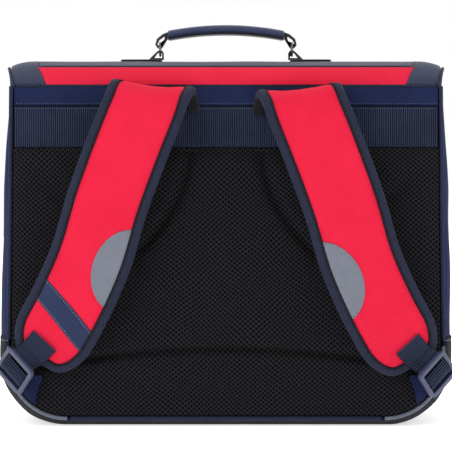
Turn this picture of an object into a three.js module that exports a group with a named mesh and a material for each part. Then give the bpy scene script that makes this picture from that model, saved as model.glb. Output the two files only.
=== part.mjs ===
// A school satchel that stands on its base with its padded back towards -Y.
// Sizes are in millimetres, Z is up, and the origin is the centre of the flat base.

import * as THREE from 'three';
import { mergeVertices } from 'three/addons/utils/BufferGeometryUtils.js';

// Clearances between neighbouring pieces and between bound soft layers, and the walls of cloth
// and of covered board
const gap = 0.3;
const softGap = 0.5;
const clothWall = 2;
const boardWall = 3;

// Body: a deep box with round lower corners, a little wider at the base than at the rim
const bodyDepth = 165;
const backHalfWidth = 191;
const baseFlare = 2.5;
const rimHeight = 299;
const cornerRadius = 53;
const sideSwell = 12;
const rimDrawIn = 90;
const cornerSwell = 8;
const seamRise = 5;
const gussetHeight = 304;
const baseCoverHeight = 77;
const baseCoverWall = 1.5;
const pipingRadius = 1.7;
const reflectiveHeight = 71;
const reflectiveInset = 54;

// Back: an airy pad below a wide ribbed band and a narrow cloth band
const padThickness = 9;
const padEdge = 2.5;
const creaseDepth = 4;
const spineHalfWidth = 33;
const spineFlare = 46;
const spineLength = 94;
const lumbarHeight = 68;
const lumbarDrop = 21;
const webbingBandHeight = 37;
const clothBandHeight = 17;
const bandThickness = 2;

// Flap: hinged in cloth at the back rim, arched over the top and down the front
const flapWall = 2;
const flapRise = 28;
const flapRearInset = 7;
const flapFrontOverhang = 13;
const flapFlareShare = 0.45;
const flapFrontTaper = 22;
const flapTaperShare = 0.1;
const flapReach = 1.1;
const flapFall = 184;
const flapDroop = 6;
const flapDroopWidth = 20;
const facingThickness = 1.2;
const redRearInset = 26;
const redTopInset = 17;
const redPanelShare = 0.062;
const cornerPieceShare = 0.12;
const trimShare = 0.007;
const bindingRadius = 1.5;

// Clasps that hold the flap down at the front
const claspWidth = 34;
const claspHeight = 52;
const claspThickness = 6;
const claspSpacing = 190;
const claspDrop = 18;
const claspRadius = 6;
const claspSeat = 0.7;

// Carrying handle: plates and eyes on the flap, rings, and a padded grip
const handleSpacing = 121.4;
const plateLength = 38;
const plateWidth = 24;
const plateThickness = 1.5;
const plateOffset = 17;
const ringRadius = 6;
const ringWire = 1;
const ringClearance = 0.6;
const eyeBar = 2.6;
const eyeClearance = 0.9;
const eyeThickness = 2.6;
const eyeBevel = 0.5;
const eyeFoot = 1.9;
const gripLength = 107;
const gripHeight = 9;
const gripWidth = 20;
const gripLift = 12.6;
const gripArch = 5.2;

// Shoulder straps
const strapWidth = 71;
const strapThickness = 12;
const strapStandOff = 40;
const strapDrop = 226;
const strapSpread = 104;
const strapSpacing = 118;
const strapRootDepth = 16;
const rightStrapDrop = 3;
const strapRootSlant = 6;
const strapBendSlant = 12;
const strapEndSlant = 14;
const strapEndRound = 36;
const strapEdgeRound = 10;
const strapBindingWidth = 8.5;
const strapBindingThickness = 1.2;
const patchThickness = 0.8;
const reflectorLength = 66;
const reflectorDepth = 24;
const reflectorPlace = 104.5;
const rightReflectorDrop = 8;
const labelPlace = 50;
const labelWidth = 21;
const labelSkew = 0.42;
const webbingWidth = 26;
const webbingThickness = 1.6;
const tabPlace = 22;
const tabOffset = -4;
const tabAngle = 14;
const buckleReach = 34;
const buckleWidth = 34;
const buckleLength = 29;
const webbingYaw = 30;
const buckleThickness = 4.5;
const buckleFrame = 4;
const buckleBar = 4.4;
const lowerWebbingReach = 21;
const lowerWebbingTuck = 9;
const cornerTabThickness = 1.4;
const cornerTabReach = 26;

const backFace = -bodyDepth / 2;
const boardFace = backFace + pipingRadius + gap;
const bandFace = boardFace - gap - bandThickness;
const pipingDepth = boardFace - gap - pipingRadius;
const padTop = rimHeight - clothBandHeight - webbingBandHeight - gap;
const flapRearHalfWidth = backHalfWidth - flapRearInset;
const flapFrontHalfWidth = backHalfWidth + flapFrontOverhang;
const redRearHalfWidth = flapRearHalfWidth - redRearInset;
const redTopHalfWidth = flapRearHalfWidth - redTopInset;
const strapRootHeight = rimHeight - strapRootDepth;

const group = new THREE.Group();

function addPiece(name, geometry, finish) {
  const mesh = new THREE.Mesh(geometry, new THREE.MeshStandardMaterial(finish));
  mesh.name = name;
  group.add(mesh);
  return mesh;
}

const navyCloth = { color: 0x1f2c4f, roughness: 0.85, metalness: 0 };
const redCloth = { color: 0xee2b48, roughness: 0.85, metalness: 0 };
const blackCloth = { color: 0x1a1a1c, roughness: 0.95, metalness: 0 };
const webbing = { color: 0x232b42, roughness: 0.8, metalness: 0 };
const greyReflective = { color: 0x838a92, roughness: 0.5, metalness: 0 };
const navyPlastic = { color: 0x3a3f58, roughness: 0.4, metalness: 0 };
const blackPlastic = { color: 0x15161a, roughness: 0.45, metalness: 0 };
const navyLeather = { color: 0x2a3150, roughness: 0.55, metalness: 0 };
const darkSteel = { color: 0x6a6a70, roughness: 0.35, metalness: 1 };

// Geometry from a list of corners and a list of four-cornered or three-cornered faces,
// turned inside out if its faces point inwards
function solidFromFaces(corners, faces) {
  let volume = 0;
  const triangles = [];
  for (const face of faces) {
    for (let i = 2; i < face.length; i += 1) {
      triangles.push([face[0], face[i - 1], face[i]]);
    }
  }
  for (const [a, b, c] of triangles) {
    volume += corners[a].dot(new THREE.Vector3().crossVectors(corners[b], corners[c]));
  }
  const order = volume < 0 ? triangles.map(([a, b, c]) => [a, c, b]) : triangles;
  const geometry = new THREE.BufferGeometry();
  geometry.setAttribute('position', new THREE.Float32BufferAttribute(
    corners.flatMap((corner) => [corner.x, corner.y, corner.z]), 3));
  geometry.setIndex(order.flat());
  return geometry;
}

// A wall between two sheets: point(row, column, side) gives the corners, side 0 or 1
function wallBetween(rows, columns, point) {
  const corners = [];
  const at = (side, row, column) => (side * rows + row) * columns + column;
  for (let side = 0; side < 2; side += 1) {
    for (let row = 0; row < rows; row += 1) {
      for (let column = 0; column < columns; column += 1) {
        corners.push(point(row, column, side));
      }
    }
  }
  const faces = [];
  for (let row = 0; row < rows - 1; row += 1) {
    for (let column = 0; column < columns - 1; column += 1) {
      const next = column + 1;
      faces.push([at(0, row, column), at(0, row, next), at(0, row + 1, next), at(0, row + 1, column)]);
      faces.push([at(1, row, column), at(1, row + 1, column), at(1, row + 1, next), at(1, row, next)]);
    }
  }
  for (let row = 0; row < rows - 1; row += 1) {
    const last = columns - 1;
    faces.push([at(0, row, 0), at(0, row + 1, 0), at(1, row + 1, 0), at(1, row, 0)]);
    faces.push([at(0, row, last), at(1, row, last), at(1, row + 1, last), at(0, row + 1, last)]);
  }
  for (let column = 0; column < columns - 1; column += 1) {
    const last = rows - 1;
    const next = column + 1;
    faces.push([at(0, 0, column), at(1, 0, column), at(1, 0, next), at(0, 0, next)]);
    faces.push([at(0, last, column), at(0, last, next), at(1, last, next), at(1, last, column)]);
  }
  return solidFromFaces(corners, faces);
}

// A solid through rings of corners that all have the same number of corners
function loftThrough(rings) {
  const sides = rings[0].length;
  const faces = [];
  for (let ring = 0; ring < rings.length - 1; ring += 1) {
    for (let i = 0; i < sides; i += 1) {
      const j = (i + 1) % sides;
      faces.push([ring * sides + i, ring * sides + j, (ring + 1) * sides + j, (ring + 1) * sides + i]);
    }
  }
  const last = (rings.length - 1) * sides;
  faces.push([...Array(sides).keys()].reverse());
  faces.push([...Array(sides).keys()].map((i) => last + i));
  return solidFromFaces(rings.flat(), faces);
}

// A round rod along a list of points, with corners on each point's own pair of axes
function rodAlong(stations, radius, sides = 6) {
  return loftThrough(stations.map(({ point, across, up }) => {
    const ring = [];
    for (let i = 0; i < sides; i += 1) {
      const angle = (2 * Math.PI * (i + 0.5)) / sides;
      ring.push(point.clone()
        .addScaledVector(across, radius * Math.cos(angle))
        .addScaledVector(up, radius * Math.sin(angle)));
    }
    return ring;
  }));
}

function shareSteps(count, from = 0, to = 1) {
  return Array.from({ length: count + 1 }, (_, i) => from + ((to - from) * i) / count);
}

function roundedBox(width, height, radius) {
  const shape = new THREE.Shape();
  const x = width / 2;
  const y = height / 2;
  shape.moveTo(-x + radius, -y);
  shape.lineTo(x - radius, -y);
  shape.quadraticCurveTo(x, -y, x, -y + radius);
  shape.lineTo(x, y - radius);
  shape.quadraticCurveTo(x, y, x - radius, y);
  shape.lineTo(-x + radius, y);
  shape.quadraticCurveTo(-x, y, -x, y - radius);
  shape.lineTo(-x, -y + radius);
  shape.quadraticCurveTo(-x, -y, -x + radius, -y);
  return shape;
}

function merged(geometry) {
  geometry.deleteAttribute('normal');
  geometry.deleteAttribute('uv');
  return mergeVertices(geometry, 1e-4);
}

// Outline of the body seen from behind: down one side, round the base and up the other.
// Each station has its place and the direction that points out of the body.
function bodyOutline({ halfWidth, bottom, radius, top, sideSteps = 3, arcSteps = 6, baseSteps = 4 }) {
  const right = [];
  for (const share of shareSteps(baseSteps / 2, 0, 1).slice(0, -1)) {
    right.push({ x: (halfWidth - radius) * share, z: bottom, outX: 0, outZ: -1 });
  }
  for (const share of shareSteps(arcSteps)) {
    const angle = (Math.PI / 2) * share;
    right.push({
      x: halfWidth - radius + radius * Math.sin(angle),
      z: bottom + radius - radius * Math.cos(angle),
      outX: Math.sin(angle),
      outZ: -Math.cos(angle),
    });
  }
  for (const share of shareSteps(sideSteps).slice(1)) {
    const start = bottom + radius;
    right.push({ x: halfWidth, z: start + (top - start) * share, outX: 1, outZ: 0 });
  }
  const flared = right.map((station) => ({
    ...station,
    x: station.x * (1 + (baseFlare / halfWidth) * (1 - station.z / rimHeight)),
  }));
  const left = flared.slice(1).reverse().map((station) => ({
    ...station,
    x: -station.x,
    outX: -station.outX,
  }));
  return [...left, ...flared];
}

// How far the gusset swells out of the seams at a share of the body's depth
function swellAt(share) {
  return Math.sqrt(Math.sin(Math.PI * share));
}

// The sides are drawn in to the seams at the rim: the share of the swell left at a height
function swellLeftAt(height) {
  return Math.sqrt(Math.min(1, Math.max(0, rimHeight - height) / rimDrawIn));
}

function liftAt(share) {
  const seamShare = 0.08;
  return seamRise * Math.max(0, 1 - Math.min(share, 1 - share) / seamShare);
}

// Body: gusset and base cover
const gussetShares = [0, 0.08, 0.25, 0.5, 0.75, 0.92, 1];

// The gusset's top dips at both seams, where the flap comes down to the rim
function gussetTopAt(share) {
  const dip = 0.25;
  const fromSeam = Math.min(1, Math.min(share, 1 - share) / dip);
  return rimHeight - clothWall + (gussetHeight - rimHeight + clothWall) * fromSeam;
}

function gussetWall({ inset, wall, topAt, shares, sideSteps, arcSteps, baseSteps }) {
  const sheets = shares.map((share) => [inset + wall, inset].map((depthIn) => {
    const swell = swellAt(share);
    return bodyOutline({
      halfWidth: backHalfWidth + sideSwell * swell - depthIn,
      bottom: liftAt(share) + depthIn,
      radius: cornerRadius + cornerSwell * swell - depthIn,
      top: topAt(share),
      sideSteps,
      arcSteps,
      baseSteps,
    }).map((station) => ({
      ...station,
      x: station.x - station.outX * sideSwell * swell * (1 - swellLeftAt(station.z)),
    }));
  }));
  const depth = bodyDepth - 2 * (pipingRadius + gap);
  return wallBetween(shares.length, sheets[0][0].length, (row, column, side) => {
    const station = sheets[row][side][column];
    return new THREE.Vector3(station.x, depth * (shares[row] - 0.5), station.z);
  });
}

addPiece('gusset', gussetWall({
  inset: baseCoverWall + gap,
  wall: clothWall,
  topAt: gussetTopAt,
  shares: gussetShares,
  sideSteps: 6,
  arcSteps: 6,
  baseSteps: 4,
}), navyCloth);

addPiece('base_cover', gussetWall({
  inset: 0,
  wall: baseCoverWall,
  topAt: () => baseCoverHeight,
  shares: gussetShares,
  sideSteps: 1,
  arcSteps: 6,
  baseSteps: 4,
}), blackCloth);

// Body: the back board and the front panel stand inside the gusset's two edges
function boardOutline(top) {
  const inset = baseCoverWall + clothWall + 2 * gap;
  const stations = bodyOutline({
    halfWidth: backHalfWidth - inset,
    bottom: seamRise + inset,
    radius: cornerRadius - inset,
    top,
    sideSteps: 1,
  });
  return new THREE.Shape(stations.map(({ x, z }) => new THREE.Vector2(x, z)));
}

function uprightBoard(name, front, finish) {
  const geometry = new THREE.ExtrudeGeometry(boardOutline(rimHeight - clothWall), {
    depth: boardWall,
    bevelEnabled: false,
  });
  const board = addPiece(name, merged(geometry), finish);
  board.rotation.x = Math.PI / 2;
  board.position.y = front;
}

uprightBoard('back_board', boardFace + boardWall, blackCloth);
uprightBoard('front_panel', -boardFace, redCloth);

// Piping: navy cord round the seams, with grey reflective cord round the two lower back corners
function pipingStations(depth) {
  return bodyOutline({
    halfWidth: backHalfWidth - pipingRadius,
    bottom: seamRise + pipingRadius,
    radius: cornerRadius - pipingRadius,
    top: rimHeight,
    sideSteps: 6,
    arcSteps: 10,
    baseSteps: 6,
  }).map((station) => ({
    ...station,
    point: new THREE.Vector3(station.x, depth, station.z),
    across: new THREE.Vector3(station.outX, 0, station.outZ),
    up: new THREE.Vector3(0, 1, 0),
  }));
}

// The part of the piping between two shares of its length, with clear ends
function pipingBetween(stations, from, to) {
  const lengths = [0];
  for (let i = 1; i < stations.length; i += 1) {
    lengths.push(lengths[i - 1] + stations[i].point.distanceTo(stations[i - 1].point));
  }
  const at = (length) => {
    let i = 1;
    while (i < stations.length - 1 && lengths[i] < length) {
      i += 1;
    }
    const share = (length - lengths[i - 1]) / (lengths[i] - lengths[i - 1]);
    const mix = (key) => stations[i - 1][key].clone().lerp(stations[i][key], share);
    return { point: mix('point'), across: mix('across').normalize(), up: stations[i].up };
  };
  const inside = stations.filter((_, i) => lengths[i] > from + 1 && lengths[i] < to - 1);
  return [at(from), ...inside, at(to)];
}

const backPiping = pipingStations(pipingDepth);
const pipingLength = backPiping.slice(1).reduce(
  (sum, station, i) => sum + station.point.distanceTo(backPiping[i].point), 0);
const sideRun = rimHeight - reflectiveHeight;
const bottomRun = 2 * (backHalfWidth - reflectiveInset);
const reflectiveRun = (pipingLength - bottomRun) / 2 - sideRun;
const pipingParts = [
  { name: 'piping_left', from: 0, length: sideRun, finish: navyCloth },
  { name: 'reflective_piping_left', from: sideRun, length: reflectiveRun, finish: greyReflective },
  { name: 'piping_bottom', from: sideRun + reflectiveRun, length: bottomRun, finish: navyCloth },
  {
    name: 'reflective_piping_right',
    from: sideRun + reflectiveRun + bottomRun,
    length: reflectiveRun,
    finish: greyReflective,
  },
  { name: 'piping_right', from: pipingLength - sideRun, length: sideRun, finish: navyCloth },
];
for (const { name, from, length, finish } of pipingParts) {
  const stretch = pipingBetween(backPiping, from + gap / 2, from + length - gap / 2);
  addPiece(name, rodAlong(stretch, pipingRadius), finish);
}
addPiece('piping_front', rodAlong(pipingStations(-pipingDepth), pipingRadius), navyCloth);

// Back pad: rows follow the lumbar arc and columns follow the spine channels, so that
// both creases lie along lines of corners
const padHalfWidth = backHalfWidth - 2 * pipingRadius - 2 * gap;
const padBottom = seamRise + 2 * pipingRadius + 2 * gap;
const padRadius = cornerRadius - 2 * pipingRadius - 2 * gap;
const padHeight = padTop - padBottom;

const padColumns = [
  { side: 0, crease: 0, edge: 0 },
  { side: 0, crease: 0.55, edge: 0 },
  { side: 0, crease: 1, edge: 0, ridge: -1 },
  { side: 0, crease: 1, edge: 0, ridge: 0 },
  { side: 0, crease: 1, edge: 0, ridge: 1 },
  { side: 1, crease: 0.42, edge: 0.58 },
  { side: 1, crease: 0.08, edge: 0.92 },
  { side: 1, crease: 0, edge: 1 },
];
const padRows = [
  { height: 0 },
  { height: 0.015 },
  { height: 0.06 },
  { height: 0.14 },
  { height: 0.235, ridge: -1 },
  { height: 0.235, ridge: 0 },
  { height: 0.235, ridge: 1 },
  { height: 0.36 },
  { height: 0.48 },
  { height: 0.58 },
  { height: 0.68 },
  { height: 0.79 },
  { height: 0.9 },
  { height: 0.97 },
  { height: 1 },
];
const ridgeHalfWidth = 7;

// Half the distance between the two spine channels at a height
function spineAt(z) {
  const below = Math.min(spineLength, Math.max(0, padTop - z));
  return spineHalfWidth + spineFlare * (below / spineLength) ** 2;
}

function padEdgeAt(z) {
  const rise = Math.min(padRadius, z - padBottom);
  const corner = padRadius - Math.sqrt(Math.max(0, padRadius ** 2 - (padRadius - rise) ** 2));
  const flare = baseFlare * (1 - z / rimHeight);
  return padHalfWidth - corner + flare * (1 - corner / padRadius);
}

// Thickness of the pad at a distance in from its seam, without its creases
function padCrown(fromEdge) {
  return Math.sqrt(Math.min(1, Math.max(0, fromEdge) / (3 * padThickness)));
}

// Distance in from the pad's outline, measured to the arc in its round lower corners
function padFromEdge(x, z) {
  const flared = padHalfWidth + baseFlare * (1 - z / rimHeight);
  const overX = x - (flared - padRadius);
  const overZ = padBottom + padRadius - z;
  if (overX > 0 && overZ > 0) {
    return padRadius - Math.hypot(overX, overZ);
  }
  return Math.min(flared - x, z - padBottom, (padTop - z) * 2);
}

function padCorner(row, column, side) {
  const columnFrom = padColumns.length - 1;
  const mirror = column < columnFrom ? -1 : 1;
  const place = padColumns[Math.abs(column - columnFrom)];
  const { height, ridge = null } = padRows[row];
  const levelZ = padBottom + padHeight * height;
  const placeX = (edge) => {
    const spine = Math.min(spineAt(levelZ), 0.7 * edge);
    return spine * place.crease + edge * place.edge + ridgeHalfWidth * (place.ridge ?? 0);
  };
  const archShare = placeX(padEdgeAt(levelZ)) / backHalfWidth;
  const arch = ridge === null ? 0 : lumbarHeight - lumbarDrop * archShare ** 2 - levelZ;
  const z = levelZ + arch + ridgeHalfWidth * (ridge ?? 0);
  const edge = padEdgeAt(z);
  const x = placeX(edge);
  if (side === 0) {
    return new THREE.Vector3(mirror * x, boardFace - gap, z);
  }
  const crown = padCrown(padFromEdge(x, z));
  const spineCrease = place.ridge === 0 && padTop - z < spineLength ? creaseDepth : 0;
  const lumbarCrease = ridge === 0 ? creaseDepth * (1 - 0.5 * place.edge) : 0;
  const crease = Math.max(spineCrease, lumbarCrease) * crown;
  const thickness = padEdge + (padThickness - padEdge) * crown - crease;
  return new THREE.Vector3(mirror * x, boardFace - gap - thickness, z);
}

addPiece('back_pad', wallBetween(padRows.length, 2 * padColumns.length - 1, padCorner), blackCloth);

// Two bands across the back above the pad
function bandAcross(name, foot, height, finish) {
  const halfWidth = backHalfWidth - 2 * pipingRadius - 2 * gap;
  const heightShares = [0, 0.12, 0.88, 1];
  const widthShares = [-1, -0.97, -0.5, 0, 0.5, 0.97, 1];
  addPiece(name, wallBetween(heightShares.length, widthShares.length, (row, column, side) => {
    const edge = Math.abs(widthShares[column]) === 1 || row % 3 === 0;
    const out = side * (edge ? bandThickness / 2 : bandThickness);
    return new THREE.Vector3(
      halfWidth * widthShares[column],
      boardFace - gap - out,
      foot + height * heightShares[row],
    );
  }), finish);
}

bandAcross('webbing_band', padTop + gap, webbingBandHeight - gap, webbing);
bandAcross('cloth_band', padTop + gap + webbingBandHeight, clothBandHeight - gap, navyCloth);

// Flap: its profile from the back rim over the top to the front edge, outer face.
// depth is a share of half the body's depth, rise of the flap's rise, fall of its fall.
const flapProfile = [
  { depth: -0.99, rise: 0.03, fall: 0 },
  { depth: -0.93, rise: 0.3, fall: 0 },
  { depth: -0.77, rise: 0.67, fall: 0 },
  { depth: -0.37, rise: 0.93, fall: 0 },
  { depth: 0, rise: 1, fall: 0 },
  { depth: 0.37, rise: 0.97, fall: 0 },
  { depth: 0.77, rise: 0.72, fall: 0 },
  { depth: 1.01, rise: 0.3, fall: 0 },
  { depth: 1.08, rise: 0, fall: 0.05 },
  { depth: flapReach, rise: 0, fall: 0.35 },
  { depth: flapReach, rise: 0, fall: 0.7 },
  { depth: 1.09, rise: 0, fall: 1 },
];
const flapCurve = new THREE.CatmullRomCurve3(flapProfile.map(({ depth, rise, fall }) => new THREE.Vector3(
  0,
  (depth * bodyDepth) / 2,
  rimHeight + flapRise * rise - flapFall * fall,
)), false, 'centripetal');
flapCurve.arcLengthDivisions = 400;

// Half the flap's width at a share of its profile
function flapHalfWidth(share) {
  const flare = Math.min(1, share / flapFlareShare) ** 0.6;
  const front = Math.max(0, share - 1 + flapTaperShare) / flapTaperShare;
  const full = flapRearHalfWidth + (flapFrontHalfWidth - flapRearHalfWidth) * flare;
  return full - flapFrontTaper * front ** 2;
}

// A point on the flap at a share of its profile: x is measured from its middle, and lift over
// its outer face, which droops towards its two side edges
function flapPoint(share, x, lift) {
  const place = flapCurve.getPointAt(share);
  const tangent = flapCurve.getTangentAt(share);
  const out = new THREE.Vector3(0, -tangent.z, tangent.y);
  const fromEdge = Math.max(0, flapHalfWidth(share) - Math.abs(x));
  const onTop = Math.sin(Math.PI * Math.min(1, share / 0.5)) ** 0.7;
  const droop = flapDroop * onTop * Math.max(0, 1 - fromEdge / flapDroopWidth) ** 2;
  return place.addScaledVector(out, lift - droop).setX(x);
}

const flapShares = [
  0, 0.03, 0.062, 0.09, 0.12, 0.17, 0.23, 0.3, 0.36, 0.4, 0.43, 0.46, 0.5, 0.58, 0.7, 0.82, 0.91, 1,
];
const flapAcross = [-1, -0.975, -0.93, -0.8, -0.4, 0, 0.4, 0.8, 0.93, 0.975, 1];

addPiece('flap_panel', wallBetween(flapShares.length, flapAcross.length, (row, column, side) => {
  const share = flapShares[row];
  return flapPoint(share, flapHalfWidth(share) * flapAcross[column], (side - 1) * flapWall);
}), navyCloth);

// A thin facing laid on the flap between two shares of the profile and two limits across
function flapFacing(name, { shares, acrossShares, limits, finish, seat = gap }) {
  addPiece(name, wallBetween(shares.length, acrossShares.length, (row, column, side) => {
    const share = shares[row];
    const [from, to] = limits(share);
    const x = from + (to - from) * acrossShares[column];
    return flapPoint(share, x, seat + side * facingThickness);
  }), finish);
}

// Half the width of the red panel, whose two ends slant outwards towards the top
function redHalfWidth(share) {
  return redRearHalfWidth + (redTopHalfWidth - redRearHalfWidth) * Math.min(1, share / redPanelShare);
}

flapFacing('flap_red_panel', {
  shares: [0.002, 0.03, redPanelShare],
  acrossShares: shareSteps(6),
  limits: (share) => [-redHalfWidth(share), redHalfWidth(share)],
  finish: redCloth,
});
flapFacing('flap_trim', {
  shares: [redPanelShare + trimShare / 4, redPanelShare + trimShare],
  acrossShares: shareSteps(6),
  limits: (share) => [-redHalfWidth(share), redHalfWidth(share)],
  finish: navyCloth,
});
for (const [hand, side] of [['left', -1], ['right', 1]]) {
  flapFacing(`flap_corner_${hand}`, {
    shares: [0.002, 0.03, 0.062, 0.09, cornerPieceShare],
    acrossShares: [0, 0.3, 0.7, 0.88, 1],
    limits: (share) => [
      side * (redHalfWidth(share) + gap),
      side * (flapHalfWidth(share) - gap),
    ],
    finish: navyLeather,
    seat: 2 * gap,
  });
}

// Binding round the flap's two side edges and its front edge
function flapEdgeStations() {
  const clear = bindingRadius + gap;
  const stations = [];
  const addStation = (share, x, outX, outShare) => {
    const place = flapPoint(share, x, -flapWall / 2);
    const tangent = flapCurve.getTangentAt(share);
    const across = new THREE.Vector3(outX, 0, 0).addScaledVector(tangent, outShare).normalize();
    stations.push({
      point: place.addScaledVector(across, clear),
      across,
      up: new THREE.Vector3(0, -tangent.z, tangent.y),
    });
  };
  for (const share of flapShares.slice(0, -1)) {
    addStation(share, -flapHalfWidth(share), -1, 0);
  }
  addStation(1, -flapHalfWidth(1), -1, 1);
  for (const across of [-0.93, -0.4, 0.4, 0.93]) {
    addStation(1, flapHalfWidth(1) * across, 0, 1);
  }
  addStation(1, flapHalfWidth(1), 1, 1);
  for (const share of flapShares.slice(0, -1).reverse()) {
    addStation(share, flapHalfWidth(share), 1, 0);
  }
  return stations;
}
addPiece('flap_binding', rodAlong(flapEdgeStations(), bindingRadius), navyCloth);

// Clasps: plain plates over the flap's front edge
for (const [hand, side] of [['left', -1], ['right', 1]]) {
  const geometry = new THREE.ExtrudeGeometry(roundedBox(claspWidth, claspHeight, claspRadius), {
    depth: claspThickness,
    bevelEnabled: false,
    curveSegments: 4,
  });
  const clasp = addPiece(`clasp_${hand}`, merged(geometry), blackPlastic);
  clasp.rotation.x = Math.PI / 2;
  clasp.position.set(
    (side * claspSpacing) / 2,
    (bodyDepth / 2) * flapReach + claspThickness + claspSeat,
    rimHeight - flapFall + claspHeight / 2 - claspDrop,
  );
}

// Handle: everything hangs on the hinge line, where the rings turn in the eyes
const flapTop = rimHeight + flapRise;
const plateTop = flapTop + gap + plateThickness;
const eyeOffset = eyeClearance + eyeBar;
const hingeHeight = plateTop + gap + eyeFoot + gap + ringWire + ringRadius + ringClearance;
const footToHinge = hingeHeight - plateTop - gap;

function eyeSolid(outline, hole) {
  const shape = new THREE.Shape(outline.map(([x, y]) => new THREE.Vector2(x, y)));
  shape.holes.push(new THREE.Path(hole.map(([x, y]) => new THREE.Vector2(x, y))));
  const geometry = new THREE.ExtrudeGeometry(shape, {
    depth: eyeThickness - 2 * eyeBevel,
    bevelThickness: eyeBevel,
    bevelSize: eyeBevel,
    bevelOffset: -eyeBevel,
    bevelSegments: 1,
  });
  geometry.translate(0, 0, -eyeThickness / 2 + eyeBevel);
  return merged(geometry);
}

// Base eye: a foot on the plate that narrows to a bar under the grip's own eye
const baseEyeOutline = [
  [-11, -footToHinge], [3.4, -footToHinge], [3.4, -eyeOffset],
  [1.6, -eyeClearance], [-1.6, -eyeClearance], [-3.6, -eyeOffset + 1],
];
const baseEyeHole = [
  [-5.4, -footToHinge + eyeFoot], [-2, -eyeOffset], [1.7, -eyeOffset],
  [1.7, -footToHinge + eyeFoot],
];
// Grip eye: a bar over the base eye, and two strands that rise to the grip's end
const gripEnd = (handleSpacing - gripLength) / 2 - gap;
const gripEyeOutline = [
  [-2.2, eyeClearance], [1.8, eyeClearance], [gripEnd, gripLift - 3.4], [gripEnd, gripLift + 3.4],
  [2, gripLift + 1.4], [-3.2, gripLift - 3], [-4.6, eyeClearance + 3.2],
];
const gripEyeHole = [
  [-2.1, eyeOffset], [1.7, eyeOffset], [gripEnd - 2.8, gripLift - 2.6],
  [gripEnd - 3, gripLift - 0.9], [-0.8, gripLift - 4.2], [-2.3, eyeOffset + 1.4],
];

for (const [hand, side] of [['left', -1], ['right', 1]]) {
  const x = (side * handleSpacing) / 2;
  const plateGeometry = new THREE.ExtrudeGeometry(roundedBox(plateLength, plateWidth, 5), {
    depth: plateThickness,
    bevelEnabled: false,
    curveSegments: 4,
  });
  const plate = addPiece(`handle_plate_${hand}`, merged(plateGeometry), blackPlastic);
  plate.position.set(x + side * plateOffset, 0, flapTop + gap);

  const baseEye = addPiece(`base_eye_${hand}`, eyeSolid(baseEyeOutline, baseEyeHole), blackPlastic);
  const gripEye = addPiece(`grip_eye_${hand}`, eyeSolid(gripEyeOutline, gripEyeHole), blackPlastic);
  for (const eye of [baseEye, gripEye]) {
    eye.rotation.set(Math.PI / 2, 0, side === -1 ? 0 : Math.PI, 'ZXY');
    eye.position.set(x, 0, hingeHeight);
  }
  const ringGeometry = new THREE.TorusGeometry(ringRadius, ringWire, 6, 16);
  const ring = addPiece(`ring_${hand}`, merged(ringGeometry), darkSteel);
  ring.rotation.y = Math.PI / 2;
  ring.position.set(x, 0, hingeHeight);
}

// Grip: a padded arch with a soft-cornered section
const gripSection = [
  [-0.5, -0.15], [-0.36, -0.45], [0, -0.5], [0.36, -0.45],
  [0.5, -0.15], [0.46, 0.22], [0.24, 0.48], [-0.24, 0.48], [-0.46, 0.22],
];
addPiece('grip', loftThrough(shareSteps(12, -1, 1).map((share) => {
  const x = (gripLength / 2) * share;
  const z = hingeHeight + gripLift + gripArch * (1 - share ** 2);
  return gripSection.map(([width, height]) => new THREE.Vector3(
    x, width * gripWidth, z + height * gripHeight));
})), navyLeather);

// Shoulder strap route, seen on the left strap: shares of its drop, its stand-off from the
// bands and its spread
const strapRoute = [
  { down: 0, out: 0, spread: 0 },
  { down: 0, out: 0.1, spread: 0 },
  { down: -0.018, out: 0.3, spread: 0.005 },
  { down: -0.046, out: 0.56, spread: 0.03 },
  { down: -0.03, out: 0.83, spread: 0.07 },
  { down: 0.03, out: 0.97, spread: 0.12 },
  { down: 0.108, out: 1, spread: 0.19 },
  { down: 0.379, out: 0.96, spread: 0.41 },
  { down: 0.594, out: 0.86, spread: 0.552 },
  { down: 0.77, out: 0.72, spread: 0.724 },
  { down: 0.896, out: 0.56, spread: 0.876 },
  { down: 1, out: 0.42, spread: 1 },
];
const strapCurve = new THREE.CatmullRomCurve3(strapRoute.map(({ down, out, spread }) => new THREE.Vector3(
  -strapSpacing / 2 - strapSpread * spread,
  bandFace - 2 * gap - (strapStandOff - 2 * gap) * out,
  strapRootHeight - strapDrop * down,
)), false, 'centripetal');
strapCurve.arcLengthDivisions = 400;
const strapLength = strapCurve.getLength();

// How far the strap's width slants down towards the middle of the back
function slantAt(share) {
  const bend = THREE.MathUtils.smoothstep(share, 0.1, 0.4);
  const lower = THREE.MathUtils.smoothstep(share, 0.4, 1);
  return THREE.MathUtils.degToRad(strapRootSlant + strapBendSlant * bend + strapEndSlant * lower);
}

// Place and axes of the strap at a length from its root; past its end they run straight on
function strapFrame(length) {
  const share = Math.min(1, length / strapLength);
  const along = strapCurve.getTangentAt(share);
  const place = strapCurve.getPointAt(share).addScaledVector(along, Math.max(0, length - strapLength));
  const slant = slantAt(share);
  const across = new THREE.Vector3(Math.cos(slant), 0, -Math.sin(slant));
  across.addScaledVector(along, -across.dot(along)).normalize();
  const outward = new THREE.Vector3().crossVectors(along, across);
  return { place, along, across, outward };
}

// A point of the strap on the given side of the back: lift is measured from its middle layer
function strapPoint(side, length, across, lift) {
  const frame = strapFrame(length);
  const point = frame.place.addScaledVector(frame.across, across).addScaledVector(frame.outward, lift);
  return side === -1 ? point : new THREE.Vector3(-point.x, point.y, point.z - rightStrapDrop);
}

function strapHalfWidth(length) {
  const toEnd = Math.max(0, strapLength - length) / strapEndRound;
  const round = toEnd < 1 ? Math.sqrt(1 - (1 - toEnd) ** 2) : 1;
  return (strapWidth / 2) * (0.36 + 0.64 * round);
}

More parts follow.
